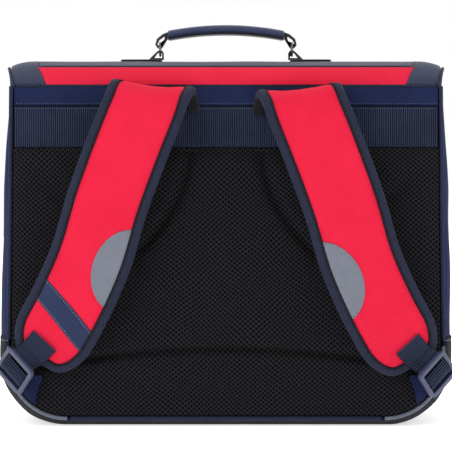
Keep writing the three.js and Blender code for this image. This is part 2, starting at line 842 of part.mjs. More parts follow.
const strapStops = [
  ...shareSteps(9, 0, 0.2), 0.28, 0.37, 0.46, 0.55, 0.64, 0.72, 0.78, 0.83,
].map((share) => share * strapLength).filter((length) => length < strapLength - strapEndRound - 4);
const strapEndStops = [1, 0.72, 0.47, 0.26, 0.11, 0.03, 0].map(
  (share) => strapLength - strapEndRound * share);
const strapStations = [...strapStops, ...strapEndStops];

// The strap's edge as seen flat: down its outer side, round the end and up its inner side
const strapEdge = [
  ...strapStations.slice(1).map((length) => new THREE.Vector2(length, -strapHalfWidth(length))),
  ...strapStations.slice(1).reverse().map((length) => new THREE.Vector2(length, strapHalfWidth(length))),
];

// Directions from the edge into the strap
const strapInwards = strapEdge.map((_, i) => {
  const before = strapEdge[Math.max(0, i - 1)];
  const after = strapEdge[Math.min(strapEdge.length - 1, i + 1)];
  const run = after.clone().sub(before).normalize();
  return new THREE.Vector2(-run.y, run.x);
});

function distanceToEdge(place) {
  let nearest = Infinity;
  for (let i = 1; i < strapEdge.length; i += 1) {
    const run = strapEdge[i].clone().sub(strapEdge[i - 1]);
    const share = place.clone().sub(strapEdge[i - 1]).dot(run) / run.lengthSq();
    const foot = strapEdge[i - 1].clone().addScaledVector(run, THREE.MathUtils.clamp(share, 0, 1));
    nearest = Math.min(nearest, foot.distanceTo(place));
  }
  return nearest;
}

const coreInset = strapBindingThickness + softGap;

// Half the strap's thickness at a place seen flat: it thins towards its bound edge and its root
function strapHalfThickness(length, across) {
  const soft = 0.55;
  const fromCore = Math.max(0, distanceToEdge(new THREE.Vector2(length, across)) - coreInset);
  const atEdge = soft + (1 - soft) * Math.min(1, fromCore / strapEdgeRound);
  const atRoot = soft + (1 - soft) * THREE.MathUtils.smoothstep(length / strapLength, 0, 0.3);
  return (strapThickness / 2) * atEdge * atRoot;
}
const coreColumns = [-1, -0.72, -0.35, 0, 0.35, 0.72, 1];

function strapCore(side) {
  const root = new THREE.Vector2(0, coreInset - strapHalfWidth(0));
  const rows = strapStations.slice(1).map((_, i) => (
    strapEdge[i].clone().addScaledVector(strapInwards[i], coreInset)));
  rows.unshift(root);
  return wallBetween(rows.length, coreColumns.length, (row, column, face) => {
    const length = rows[row].x;
    const across = -rows[row].y * coreColumns[column];
    return strapPoint(side, length, across, (2 * face - 1) * strapHalfThickness(length, across));
  });
}

function strapBinding(side) {
  const rimInset = 3;
  const outer = [strapBindingWidth, rimInset, 0];
  const inner = [strapBindingWidth, rimInset, coreInset - softGap];
  const layered = (insets, face, layer) => insets.map((inset) => ({ inset, face, layer }));
  const section = [
    ...layered(outer, 1, softGap + strapBindingThickness),
    ...layered([...outer].reverse(), -1, softGap + strapBindingThickness),
    ...layered(inner, -1, softGap),
    ...layered([...inner].reverse(), 1, softGap),
  ];
  return loftWithHollow(strapEdge.map((edge, i) => section.map(({ inset, face, layer }) => {
    const place = edge.clone().addScaledVector(strapInwards[i], inset);
    const rimLayer = Math.min(layer, softGap + strapBindingThickness / 4);
    const clear = inset < rimInset ? rimLayer : layer;
    return strapPoint(side, place.x, place.y, face * (strapHalfThickness(place.x, place.y) + clear));
  })));
}

// A loft whose section is a hooked strip: its first half is the outside and its second half
// runs back along the inside, so each end closes with a row of four-cornered faces
function loftWithHollow(rings) {
  const sides = rings[0].length;
  const faces = [];
  for (let ring = 0; ring < rings.length - 1; ring += 1) {
    for (let i = 0; i < sides; i += 1) {
      const j = (i + 1) % sides;
      faces.push([ring * sides + i, ring * sides + j, (ring + 1) * sides + j, (ring + 1) * sides + i]);
    }
  }
  const last = (rings.length - 1) * sides;
  for (let i = 0; i < sides / 2 - 1; i += 1) {
    const back = sides - 1 - i;
    faces.push([i, back, back - 1, i + 1]);
    faces.push([last + i, last + i + 1, last + back - 1, last + back]);
  }
  return solidFromFaces(rings.flat(), faces);
}

const strapFace = strapThickness / 2 + gap;
const innerHalfWidth = strapWidth / 2 - strapBindingWidth - 2 * gap;

// Reflective half disc on the inner side of the strap's face
function strapReflector(side) {
  const acrossShares = [0, 0.35, 0.7, 1];
  const lengthShares = shareSteps(8, -1, 1);
  const middle = strapLength - reflectorPlace + (side === 1 ? rightReflectorDrop : 0);
  return wallBetween(lengthShares.length, acrossShares.length, (row, column, face) => {
    const share = lengthShares[row];
    const depth = Math.max(0.06, 1 - share ** 2) ** 0.62 * reflectorDepth;
    const length = middle + (reflectorLength / 2) * share;
    const across = innerHalfWidth - depth * acrossShares[column];
    return strapPoint(side, length, across, strapFace + face * patchThickness);
  });
}

// Plain label band stitched slantwise across the strap's face
function strapLabel(side) {
  const columns = shareSteps(5, -1, 1);
  const rows = [-0.5, -0.38, 0.38, 0.5];
  return wallBetween(rows.length, columns.length, (row, column, face) => {
    const middle = strapLength - labelPlace + labelWidth * rows[row];
    const corner = middle + innerHalfWidth * columns[column] * labelSkew;
    const limit = strapHalfWidth(corner) - strapBindingWidth - 2 * gap;
    const across = limit * columns[column];
    const length = middle + across * labelSkew;
    const edge = Math.abs(rows[row]) === 0.5 ? 0.6 : 1;
    return strapPoint(side, length, across, strapFace + face * edge * patchThickness);
  });
}

// Tab, buckle and lower webbing share one line, which starts on the strap's face at a small
// angle to it and turns towards the body's side once it has passed the strap's end
const tabTurn = THREE.MathUtils.degToRad(tabAngle);
const bindingFace = strapHalfThickness(strapLength - strapBindingWidth, 0) + softGap + strapBindingThickness;
const overBinding = bindingFace + gap;
const yawStart = tabPlace * 0.7;
const yawEnd = buckleReach - buckleLength / 2 + 1;
const upright = new THREE.Vector3(0, 0, 1);

function webbingFrame(distance) {
  const start = strapFrame(strapLength);
  const along = start.along.clone().multiplyScalar(Math.cos(tabTurn))
    .addScaledVector(start.across, -Math.sin(tabTurn));
  const across = start.across.clone().multiplyScalar(Math.cos(tabTurn))
    .addScaledVector(start.along, Math.sin(tabTurn));
  const place = start.place.addScaledVector(start.along, -tabPlace)
    .addScaledVector(start.across, tabOffset);
  const turnAt = (from) => {
    const share = THREE.MathUtils.smoothstep(from, yawStart, yawEnd);
    return -THREE.MathUtils.degToRad(webbingYaw) * share;
  };
  const steps = 12;
  for (let i = 0; i < steps; i += 1) {
    const middle = (distance * (i + 0.5)) / steps;
    place.addScaledVector(along.clone().applyAxisAngle(upright, turnAt(middle)), distance / steps);
  }
  const turn = turnAt(distance);
  place.addScaledVector(start.outward, (webbingWidth / 2) * Math.sin(-turn));
  along.applyAxisAngle(upright, turn);
  across.applyAxisAngle(upright, turn);
  return { place, along, across, outward: new THREE.Vector3().crossVectors(along, across) };
}

// Flat webbing along that line: each stop has its distance and its lift from the middle layer
function webbingStrip(side, stops) {
  return wallBetween(stops.length, 2, (row, column, face) => {
    const { distance, lift } = stops[row];
    const frame = webbingFrame(distance);
    const point = frame.place.addScaledVector(frame.across, webbingWidth * (column - 0.5))
      .addScaledVector(frame.outward, lift + face * webbingThickness);
    return side === -1 ? point : new THREE.Vector3(-point.x, point.y, point.z - rightStrapDrop);
  });
}

// Ladder-lock buckle: a frame with two slots and a bar between them
function buckleSolid() {
  const frame = roundedBox(buckleWidth, buckleLength, 5);
  const slotHalfWidth = webbingWidth / 2 + gap;
  for (const end of [-1, 1]) {
    const near = (buckleBar / 2) * end;
    const far = (buckleLength / 2 - buckleFrame) * end;
    frame.holes.push(new THREE.Path([
      new THREE.Vector2(-slotHalfWidth, near),
      new THREE.Vector2(slotHalfWidth, near),
      new THREE.Vector2(slotHalfWidth, far),
      new THREE.Vector2(-slotHalfWidth, far),
    ]));
  }
  const geometry = new THREE.ExtrudeGeometry(frame, {
    depth: buckleThickness,
    bevelEnabled: false,
    curveSegments: 3,
  });
  geometry.translate(0, 0, -buckleThickness / 2);
  return merged(geometry);
}

function buckleMatrix(side) {
  const { place, along, across, outward } = webbingFrame(buckleReach);
  const matrix = new THREE.Matrix4().makeBasis(across, along, outward.clone().negate());
  matrix.setPosition(place.addScaledVector(outward, buckleLift));
  if (side === 1) {
    matrix.premultiply(new THREE.Matrix4().makeScale(-1, 1, 1));
    matrix.premultiply(new THREE.Matrix4().makeTranslation(0, 0, -rightStrapDrop));
  }
  return matrix;
}

// The tab runs under the buckle's first bar; the lower webbing comes up under its last bar,
// over its middle bar and back into the first slot
const underBuckle = overBinding;
const buckleLift = underBuckle + webbingThickness + gap + buckleThickness / 2;
const overBuckle = buckleLift + buckleThickness / 2 + gap;
const slotMiddle = (buckleBar / 2 + buckleLength / 2 - buckleFrame) / 2;
const lastBar = buckleLength / 2 - buckleFrame;
const tabStops = [
  { distance: 0, lift: overBinding },
  { distance: yawStart, lift: overBinding },
  { distance: yawEnd - 1, lift: underBuckle - gap },
  { distance: buckleReach - lastBar + gap, lift: underBuckle - gap },
];
const lowerStops = [
  { distance: buckleReach - slotMiddle, lift: buckleLift },
  { distance: buckleReach - buckleBar / 2 - gap, lift: overBuckle },
  { distance: buckleReach + buckleBar / 2 + gap, lift: overBuckle },
  { distance: buckleReach + slotMiddle, lift: buckleLift },
  { distance: buckleReach + lastBar - gap, lift: underBuckle - gap },
  { distance: buckleReach + buckleLength / 2, lift: underBuckle - gap },
  { distance: buckleReach + lowerWebbingReach, lift: strapFace - lowerWebbingTuck },
];

for (const [hand, side] of [['left', -1], ['right', 1]]) {
  addPiece(`strap_pad_${hand}`, strapCore(side), redCloth);
  addPiece(`strap_binding_${hand}`, strapBinding(side), navyCloth);
  addPiece(`strap_reflector_${hand}`, strapReflector(side), greyReflective);
  if (side === -1) {
    addPiece('strap_label_left', strapLabel(side), navyCloth);
  }
  addPiece(`strap_tab_${hand}`, webbingStrip(side, tabStops), webbing);
  const buckle = addPiece(`buckle_${hand}`, buckleSolid(), navyPlastic);
  buckle.applyMatrix4(buckleMatrix(side));
  addPiece(`lower_webbing_${hand}`, webbingStrip(side, lowerStops), webbing);
}

// Corner tabs: folded cloth triangles sewn into the lower back corners, under the webbing.
// Each row has its angle round the corner and its reach as a share of the longest.
const cornerTabRows = [
  { degrees: 20, reach: 0.5 },
  { degrees: 28, reach: 0.85 },
  { degrees: 36, reach: 0.8 },
  { degrees: 44, reach: 0.45 },
  { degrees: 52, reach: 0.08 },
];
for (const [hand, side] of [['left', -1], ['right', 1]]) {
  const middle = new THREE.Vector2(backHalfWidth - cornerRadius, seamRise + cornerRadius);
  const reach = cornerRadius - 2 * pipingRadius - 2 * gap;
  const seamPoint = (degrees, inward) => {
    const angle = THREE.MathUtils.degToRad(degrees);
    return new THREE.Vector2(
      middle.x + (reach - inward) * Math.cos(angle),
      middle.y - (reach - inward) * Math.sin(angle),
    );
  };
  addPiece(`corner_tab_${hand}`, wallBetween(cornerTabRows.length, 5, (row, column, face) => {
    const inward = (1 - column / 4) * cornerTabRows[row].reach * cornerTabReach;
    const place = seamPoint(cornerTabRows[row].degrees, inward);
    const crown = padCrown(padFromEdge(place.x, place.y));
    const out = padEdge + (padThickness - padEdge) * crown + softGap + face * cornerTabThickness;
    return new THREE.Vector3(side * place.x, boardFace - gap - out, place.y);
  }), navyCloth);
}

export default group;
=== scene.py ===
"""A red and navy school satchel, seen square on from its padded back.

The sections follow the satchel as it is sewn together: body, piping, back, flap, handle and
shoulder straps. The floor, the lights and the camera come last."""

import math

import bmesh
import bpy
import numpy as np
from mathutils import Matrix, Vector, noise
from mathutils.bvhtree import BVHTree


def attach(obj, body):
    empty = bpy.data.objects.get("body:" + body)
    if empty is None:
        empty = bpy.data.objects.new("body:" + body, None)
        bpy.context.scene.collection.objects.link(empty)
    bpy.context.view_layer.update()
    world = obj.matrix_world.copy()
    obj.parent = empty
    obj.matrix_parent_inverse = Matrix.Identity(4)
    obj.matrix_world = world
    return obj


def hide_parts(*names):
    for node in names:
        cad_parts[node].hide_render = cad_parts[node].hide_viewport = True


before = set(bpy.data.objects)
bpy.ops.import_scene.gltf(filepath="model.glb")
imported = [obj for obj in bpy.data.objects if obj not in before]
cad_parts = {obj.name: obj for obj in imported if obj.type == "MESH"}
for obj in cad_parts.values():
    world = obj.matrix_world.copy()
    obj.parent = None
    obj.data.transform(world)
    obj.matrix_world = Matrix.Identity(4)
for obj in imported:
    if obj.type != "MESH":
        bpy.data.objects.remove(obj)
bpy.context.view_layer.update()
mm = 0.001

# Gusset: the long navy polyester panel round both sides and the base, cut in one strip and
# sewn to the back and the front. It swells between its seams and slackens a little in places.
gap = 0.3 * mm
body_depth = 165 * mm
back_half_width = 191 * mm
base_flare = 2.5 * mm
rim_height = 299 * mm
corner_radius = 53 * mm
side_swell = 12 * mm
rim_draw_in = 90 * mm
corner_swell = 8 * mm
seam_rise = 5 * mm
seam_share = 0.08
top_dip_share = 0.25
gusset_height = 304 * mm
cloth_wall = 2 * mm
base_cover_wall = 1.5 * mm
piping_radius = 1.7 * mm
board_face = -body_depth / 2 + piping_radius + gap


def linear(colour):
    """An sRGB hex colour as the linear colour of a shader socket"""
    parts = [int(colour[i:i + 2], 16) / 255 for i in (1, 3, 5)]
    return (*(c / 12.92 if c <= 0.04045 else ((c + 0.055) / 1.055) ** 2.4 for c in parts), 1)


def add_node(tree, kind, settings=None, links=None):
    """A new node with its settings, by property or socket, and its links from other sockets"""
    node = tree.nodes.new(kind)
    for key, value in (settings or {}).items():
        if isinstance(key, int) or key in node.inputs:
            node.inputs[key].default_value = value
        else:
            setattr(node, key, value)
    for key, source in (links or {}).items():
        tree.links.new(source, node.inputs[key])
    return node


def new_finish(name, settings, colour, height=None, depth=0.0):
    """Material with one Principled shader; colour(tree) and height(tree) return sockets"""
    finish = bpy.data.materials.new(name)
    finish.use_nodes = True
    tree = finish.node_tree
    tree.nodes.clear()
    shader = add_node(tree, "ShaderNodeBsdfPrincipled", settings)
    add_node(tree, "ShaderNodeOutputMaterial", links={"Surface": shader.outputs[0]})
    tree.links.new(colour(tree), shader.inputs["Base Color"])
    if height:
        bump = add_node(tree, "ShaderNodeBump", {"Strength": 1.0, "Distance": depth},
                        {"Height": height(tree)})
        tree.links.new(bump.outputs[0], shader.inputs["Normal"])
    return finish


def uneven(tree, low, high, span, detail=3):
    """Colour that drifts between two hex colours over about span metres"""
    place = add_node(tree, "ShaderNodeTexCoord")
    drift = add_node(tree, "ShaderNodeTexNoise", {"Scale": 1 / span, "Detail": detail},
                     {"Vector": place.outputs["Object"]})
    mix = add_node(tree, "ShaderNodeMix", {"data_type": "RGBA", 6: linear(low), 7: linear(high)},
                   {0: drift.outputs[0]})
    return mix.outputs[2]


def weave(tree, thread, slub=0.5):
    """Height of a plain weave on the piece's UV map: threads pass over and under by turns"""
    place = add_node(tree, "ShaderNodeTexCoord")
    step = math.pi / thread
    scaled = add_node(tree, "ShaderNodeVectorMath", {"operation": "SCALE", "Scale": step},
                      {0: place.outputs["UV"]})
    parts = add_node(tree, "ShaderNodeSeparateXYZ", links={0: scaled.outputs[0]})
    waves = [add_node(tree, "ShaderNodeMath", {"operation": "SINE"}, {0: parts.outputs[i]})
             for i in (0, 1)]
    over = add_node(tree, "ShaderNodeMath", {"operation": "MULTIPLY"},
                    {0: waves[0].outputs[0], 1: waves[1].outputs[0]})
    rough = add_node(tree, "ShaderNodeTexNoise", {"Scale": 0.6 / thread, "Detail": 2},
                     {"Vector": place.outputs["Object"]})
    height = add_node(tree, "ShaderNodeMath", {"operation": "MULTIPLY_ADD", 1: slub},
                      {0: rough.outputs[0], 2: over.outputs[0]})
    return height.outputs[0]


def woven(name, low, high, thread, roughness=0.85, sheen=0.04, slub=0.5, depth=0.16):
    """Matt polyester cloth: two close colours that drift over the panel, and a plain weave"""
    return new_finish(name, {"Roughness": roughness, "Sheen Weight": sheen, "Sheen Roughness": 0.5,
                             "Specular IOR Level": 0.08},
                      colour=lambda tree: uneven(tree, low, high, 30 * thread),
                      height=lambda tree: weave(tree, thread, slub), depth=depth * thread)


# Oxford polyester, 600 denier: threads 0.5 mm apart are too fine for the picture, so the weave
# is drawn at 1 mm; matt navy with no bloom
navy_oxford = woven("Navy oxford polyester", "#1b2140", "#232d50", 1.0 * mm, sheen=0.0)


def body_outline(half_width, bottom, radius, top, side_steps=40, arc_steps=18, base_steps=44):
    """The U of the body seen from behind, as x, z and the two parts of its outward direction"""
    base = np.linspace(0, 1, base_steps + 1)[:-1]
    arc = np.linspace(0, math.pi / 2, arc_steps + 1)
    side = np.linspace(0, 1, side_steps + 1)[1:]
    x = np.concatenate([(half_width - radius) * base, half_width - radius + radius * np.sin(arc),
                        np.full(side_steps, half_width)])
    foot = bottom + radius
    z = np.concatenate([np.full(base_steps, bottom), foot - radius * np.cos(arc),
                        foot + (top - foot) * side])
    out_x = np.concatenate([np.zeros(base_steps), np.sin(arc), np.ones(side_steps)])
    out_z = np.concatenate([-np.ones(base_steps), -np.cos(arc), np.zeros(side_steps)])
    x = x * (1 + base_flare / half_width * (1 - z / rim_height))
    mirror = [np.concatenate([sign * part[1:][::-1], part])
              for sign, part in ((-1, x), (1, z), (-1, out_x), (1, out_z))]
    return np.array(mirror)


def gusset_grid(inset, top_at, rows=40, **steps):
    """Outer face of a panel round the body, a row of points for each share of its depth"""
    depth = body_depth - 2 * (piping_radius + gap)
    grid = []
    for share in (1 - np.cos(np.linspace(0, math.pi, rows))) / 2:
        swell = math.sqrt(max(0, math.sin(math.pi * share)))
        lift = seam_rise * max(0, 1 - min(share, 1 - share) / seam_share)
        x, z, out_x, _ = body_outline(back_half_width + side_swell * swell - inset, lift + inset,
                                      corner_radius + corner_swell * swell - inset, top_at(share),
                                      **steps)
        swell_left = np.sqrt(np.clip((rim_height - z) / rim_draw_in, 0, 1))
        x -= out_x * side_swell * swell * (1 - swell_left)
        grid.append(np.stack([x, np.full_like(x, depth * (share - 0.5)), z], axis=1))
    return np.array(grid)


def normals_of(grid):
    """Unit normals of a grid of points"""
    normal = np.cross(np.gradient(grid, axis=1), np.gradient(grid, axis=0))
    return normal / np.maximum(np.linalg.norm(normal, axis=2, keepdims=True), 1e-12)


def slack(grid, height, span, seed, floor=None):
    """The grid with the soft swells of cloth, up to height inwards and about span apart"""
    offset = Vector((3.7 * seed, 1.3 * seed, 0))
    swell = np.array([[noise.noise(Vector(point) / span + offset) for point in row]
                      for row in grid])
    moved = grid + normals_of(grid) * (height * (swell - 0.5))[..., None]
    return moved if floor is None else np.maximum(moved, [-9, -9, floor])


def in_scene(name, data):
    """A new object at the origin that holds the mesh, lamp or camera"""
    piece = bpy.data.objects.new(name, data)
    bpy.context.collection.objects.link(piece)
    return piece


def reshape(mesh, source, work):
    """Fills the mesh with the source mesh as work(shape) leaves it"""
    shape = bmesh.new()
    shape.from_mesh(source)
    work(shape)
    shape.to_mesh(mesh)
    shape.free()


def smooth_piece(name, mesh, finish, sharp=50):
    """The mesh as a piece in its finish, smooth but for edges over that many degrees"""
    mesh.shade_smooth()
    mesh.set_sharp_from_angle(angle=math.radians(sharp))
    mesh.materials.append(finish)
    return in_scene(name, mesh)


def build(name, corners, faces, finish, uv=None, sharp=50):
    """A closed mesh piece with its faces outwards and its place in its mesh"""
    mesh = bpy.data.meshes.new(name)
    mesh.from_pydata(np.asarray(corners).tolist(), [], [list(map(int, f)) for f in faces])
    if uv is not None:
        layer = mesh.uv_layers.new(name="UVMap")
        index = np.zeros(len(mesh.loops), int)
        mesh.loops.foreach_get("vertex_index", index)
        layer.data.foreach_set("uv", np.asarray(uv)[index].ravel())
    reshape(mesh, mesh, lambda shape: bmesh.ops.recalc_face_normals(shape, faces=shape.faces))
    return smooth_piece(name, mesh, finish, sharp)


def two_faced(name, front, back, finish, sharp=50):
    """A closed piece between two grids; its UV map is in metres along the rows and columns"""
    rows, columns = front.shape[:2]
    count = rows * columns
    u = np.concatenate([[0], np.cumsum(np.linalg.norm(np.diff(front, axis=1), axis=2).mean(0))])
    v = np.concatenate([[0], np.cumsum(np.linalg.norm(np.diff(front, axis=0), axis=2).mean(1))])
    uv = np.stack(np.meshgrid(u, v), axis=2).reshape(-1, 2)
    at = np.arange(count).reshape(rows, columns)
    quads = np.stack([at[:-1, :-1], at[:-1, 1:], at[1:, 1:], at[1:, :-1]], axis=2).reshape(-1, 4)
    rim = np.concatenate([at[0, :-1], at[:-1, -1], at[-1, :0:-1], at[:0:-1, 0]])
    after = np.roll(rim, -1)
    walls = np.stack([after, rim, rim + count, after + count], axis=1)
    corners = np.concatenate([front.reshape(-1, 3), back.reshape(-1, 3)])
    faces = np.concatenate([quads, quads[:, ::-1] + count, walls])
    return build(name, corners, faces, finish, np.concatenate([uv, uv]), sharp)


def cloth(name, face, wall, finish, turn=1):
    """Sheet of cloth below a grid of points; turn is -1 where the grid's normals point inwards"""
    return two_faced(name, face, face - turn * wall * normals_of(face), finish)


def fit(piece, slot, *nodes, body="satchel"):
    """The piece rides on the body and stands for those CAD nodes; slot is not used"""
    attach(piece, body)
    if nodes:
        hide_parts(*nodes)
    return piece


def gusset_top(share):
    """The gusset's top dips at both seams, where the flap comes down to the rim"""
    seam_top = rim_height - cloth_wall
    return seam_top + (gusset_height - seam_top) * min(1, min(share, 1 - share) / top_dip_share)


gusset_face = slack(gusset_grid(base_cover_wall + gap, gusset_top), height=1.6 * mm,
                    span=60 * mm, seed=1)
gusset = cloth("gusset_cloth", gusset_face, cloth_wall, navy_oxford, turn=-1)
fit(gusset, "navy_cloth", "gusset")

# Base cover: black rubberised cloth glued and sewn over the lower part of the gusset, which
# takes the wear of the floor; its top edge is turned in and stitched in grey
base_cover_height = 77 * mm
# Its finish is a dull black with a coarse, uneven grain
rubber_cloth = woven("Black rubberised cloth", "#1d1e21", "#2d2e33", 1.6 * mm, roughness=0.9,
                     slub=1.6, depth=0.25)
cover_face = slack(gusset_grid(0, lambda share: base_cover_height, side_steps=10),
                   height=0.7 * mm, span=18 * mm, seed=2, floor=0)
base_cover = cloth("base_cover_cloth", cover_face, base_cover_wall, rubber_cloth, turn=-1)
fit(base_cover, "black_cloth", "base_cover")


def line_object(name, runs):
    """Runs of points joined by edges, which the cord and the stitch trees follow"""
    mesh = bpy.data.meshes.new(name)
    points = [tuple(point) for run in runs for point in run]
    edges = []
    first = 0
    for run in runs:
        edges += [(first + i, first + i + 1) for i in range(len(run) - 1)]
        first += len(run)
    mesh.from_pydata(points, edges, [])
    return in_scene(name, mesh)


def new_tree(name, inputs):
    """A Geometry Nodes tree with one mesh in, one mesh out and the named inputs"""
    tree = bpy.data.node_groups.new(name, "GeometryNodeTree")
    for label, kind in {"Lines": "Geometry", **inputs}.items():
        tree.interface.new_socket(label, in_out="INPUT", socket_type=f"NodeSocket{kind}")
    tree.interface.new_socket("Piece", in_out="OUTPUT", socket_type="NodeSocketGeometry")
    return tree, add_node(tree, "NodeGroupInput").outputs


def end_tree(tree, made, finish):
    """Ends a tree with smooth faces, real meshes and the finish"""
    smooth = add_node(tree, "GeometryNodeSetShadeSmooth", links={0: made})
    real = add_node(tree, "GeometryNodeRealizeInstances", links={0: smooth.outputs[0]})
    dressed = add_node(tree, "GeometryNodeSetMaterial",
                       links={0: real.outputs[0], "Material": finish})
    add_node(tree, "NodeGroupOutput", links={0: dressed.outputs[0]})
    return tree


def plain(piece, modifier):
    """The piece with what its modifier makes of it, as a plain mesh"""
    seen = piece.evaluated_get(bpy.context.evaluated_depsgraph_get())
    mesh = bpy.data.meshes.new_from_object(seen)
    piece.modifiers.remove(modifier)
    piece.data = mesh
    return piece


def grown(piece, tree, **inputs):
    """The piece with what the tree makes of it, as a plain mesh"""
    modifier = piece.modifiers.new("grow", "NODES")
    modifier.node_group = tree
    for socket in tree.interface.items_tree:
        if socket.name in inputs:
            modifier[socket.identifier] = inputs[socket.name]
    return plain(piece, modifier)


# Stitches: a point every Pitch along each line, and on it a short round thread
stitch_tree, given = new_tree("Stitches along lines", {
    "Pitch": "Float", "Length": "Float", "Thickness": "Float", "Finish": "Material"})
seam_line = add_node(stitch_tree, "GeometryNodeMeshToCurve", links={0: given["Lines"]})
seam_points = add_node(stitch_tree, "GeometryNodeCurveToPoints", {"mode": "LENGTH"},
                       {0: seam_line.outputs[0], "Length": given["Pitch"]})
thread_size = add_node(stitch_tree, "ShaderNodeCombineXYZ", links={
    0: given["Thickness"], 1: given["Thickness"], 2: given["Length"]})
thread = add_node(stitch_tree, "GeometryNodeMeshUVSphere",
                  {"Segments": 6, "Rings": 4, "Radius": 0.5})
stitches = add_node(stitch_tree, "GeometryNodeInstanceOnPoints", links={
    "Points": seam_points.outputs[0], "Instance": thread.outputs[0],
    "Rotation": seam_points.outputs["Rotation"], "Scale": thread_size.outputs[0]})
end_tree(stitch_tree, stitches.outputs[0], given["Finish"])


def thread_finish(name, colour):
    """Bonded polyester thread: smooth and slightly glossy beside the cloth"""
    return new_finish(name, {"Roughness": 0.55, "Sheen Weight": 0.2},
                      colour=lambda tree: uneven(tree, colour, colour, 5 * mm),
                      height=lambda tree: weave(tree, 0.3 * mm), depth=0.05 * mm)


grey_thread = thread_finish("Grey bonded thread", "#8b90a0")
navy_thread = thread_finish("Navy bonded thread", "#3a4464")
black_thread = thread_finish("Black bonded thread", "#17171a")


def sew(name, runs, finish, slot, pitch=3.2 * mm, length=2.5 * mm, thickness=0.55 * mm,
        body="satchel"):
    """A row of stitches along each run of points"""
    row = grown(line_object(name, runs), stitch_tree, Pitch=pitch, Length=length,
                Thickness=thickness, Finish=finish)
    return fit(row, slot, body=body)


sew("base_cover_stitches", [cover_face[:, 1], cover_face[:, -2]], grey_thread, "black_cloth")

# Front panel and back board: polyethylene sheets that keep the satchel's box shape, the front
# one covered in red oxford that is drawn a little slack over it, the back one in black
# The red oxford is matt with a clear weave, and the lining a dull, even black
board_wall = 3 * mm
front_bulge = 3 * mm
red_oxford = woven("Red oxford polyester", "#d91c3b", "#e62645", 0.9 * mm, roughness=0.8,
                   sheen=0.03)
board_inset = base_cover_wall + cloth_wall + 2 * gap


def board_grid(front, bulge=0.0, columns=60, rows=50):
    """Upright panel in the body's outline at the depth front, bulging towards its middle"""
    radius = corner_radius - board_inset
    foot = seam_rise + board_inset
    grid = []
    for rise in np.linspace(0, 1, rows) ** 1.4:
        z = foot + (rim_height - cloth_wall - foot) * rise
        cut = radius - math.sqrt(max(0, radius ** 2 - max(0, radius - (z - foot)) ** 2))
        reach = back_half_width - board_inset - cut + base_flare * (1 - z / rim_height)
        across = np.linspace(-1, 1, columns)
        out = bulge * np.sqrt(np.clip(1 - across ** 2, 0, 1)) * math.sin(math.pi * rise)
        grid.append(np.stack([reach * across, front + out, np.full(columns, z)], axis=1))
    return np.array(grid)


front_panel = two_faced("front_panel_cloth", board_grid(-board_face, bulge=front_bulge),
                        board_grid(-board_face - board_wall), red_oxford)
fit(front_panel, "red_cloth", "front_panel")
lining = woven("Black lining cloth", "#17171a", "#1f1f23", 1.0 * mm)
back_board = two_faced("back_board_cloth", board_grid(board_face),
                       board_grid(board_face + board_wall), lining)
fit(back_board, "black_cloth", "back_board")

# Piping: cord wrapped in a bias strip and sewn into both seams of the body, navy all round
# but grey reflective tape round the two lower back corners
reflective_height = 71 * mm
reflective_inset = 54 * mm

# Cord: a round tube of Radius along each line
cord_tree, given = new_tree("Cord along lines", {
    "Radius": "Float", "Sides": "Int", "Finish": "Material"})
cord_line = add_node(cord_tree, "GeometryNodeMeshToCurve", links={0: given["Lines"]})
cord_section = add_node(cord_tree, "GeometryNodeCurvePrimitiveCircle", links={
    "Resolution": given["Sides"], "Radius": given["Radius"]})
cord_tube = add_node(cord_tree, "GeometryNodeCurveToMesh", {"Fill Caps": True}, {
    "Curve": cord_line.outputs[0], "Profile Curve": cord_section.outputs[0]})
end_tree(cord_tree, cord_tube.outputs[0], given["Finish"])


wave_period = 0.314


def object_weave(tree, thread):
    """Height of a weave on Object coordinates, for pieces without a UV map

    wave_period is the length in metres of one band of the wave texture at scale 1.
    """
    place = add_node(tree, "ShaderNodeTexCoord")
    total = None
    for axis in ("X", "Y", "Z"):
        wave = add_node(tree, "ShaderNodeTexWave", {
            "bands_direction": axis, "Scale": wave_period / thread, "Distortion": 0.6, "Detail": 1},
            {"Vector": place.outputs["Object"]}).outputs[1]
        total = wave if total is None else add_node(
            tree, "ShaderNodeMath", {"operation": "ADD"}, {0: total, 1: wave}).outputs[0]
    return total


def bias_tape(name, low, high, roughness, sheen):
    """Thin tape wrapped round a cord: close ribs across it and an uneven tone along it"""
    return new_finish(name, {"Roughness": roughness, "Sheen Weight": sheen, "Sheen Roughness": 0.4,
                             "Specular IOR Level": 0.15},
                      colour=lambda tree: uneven(tree, low, high, 6 * mm),
                      height=lambda tree: object_weave(tree, 1.2 * mm), depth=0.15 * mm)


navy_tape = bias_tape("Navy bias tape", "#1d2238", "#2a3150", 0.75, 0.1)
# Retroreflective tape: glass beads in a grey binder, a satin grey that leans to blue
grey_tape = bias_tape("Grey reflective tape", "#565b6b", "#7d8292", 0.4, 0.0)


def piping_path(depth):
    """The body's outline at that depth, as the cord's route"""
    x, z, _, _ = body_outline(back_half_width - piping_radius, seam_rise + piping_radius,
                              corner_radius - piping_radius, rim_height)
    return np.stack([x, np.full_like(x, depth), z], axis=1)


piping_depth = board_face - gap - piping_radius
back_path = piping_path(piping_depth)
path_x, _, path_z = back_path.T
high = path_z >= reflective_height
in_corner = ~high & (abs(path_x) > back_half_width - reflective_inset)
piping_parts = {
    "piping_left": (high & (path_x < 0), navy_tape, "navy_cloth"),
    "reflective_piping_left": (in_corner & (path_x < 0), grey_tape, "grey_reflective"),
    "piping_bottom": (~in_corner & ~high, navy_tape, "navy_cloth"),
    "reflective_piping_right": (in_corner & (path_x > 0), grey_tape, "grey_reflective"),
    "piping_right": (high & (path_x > 0), navy_tape, "navy_cloth"),
}


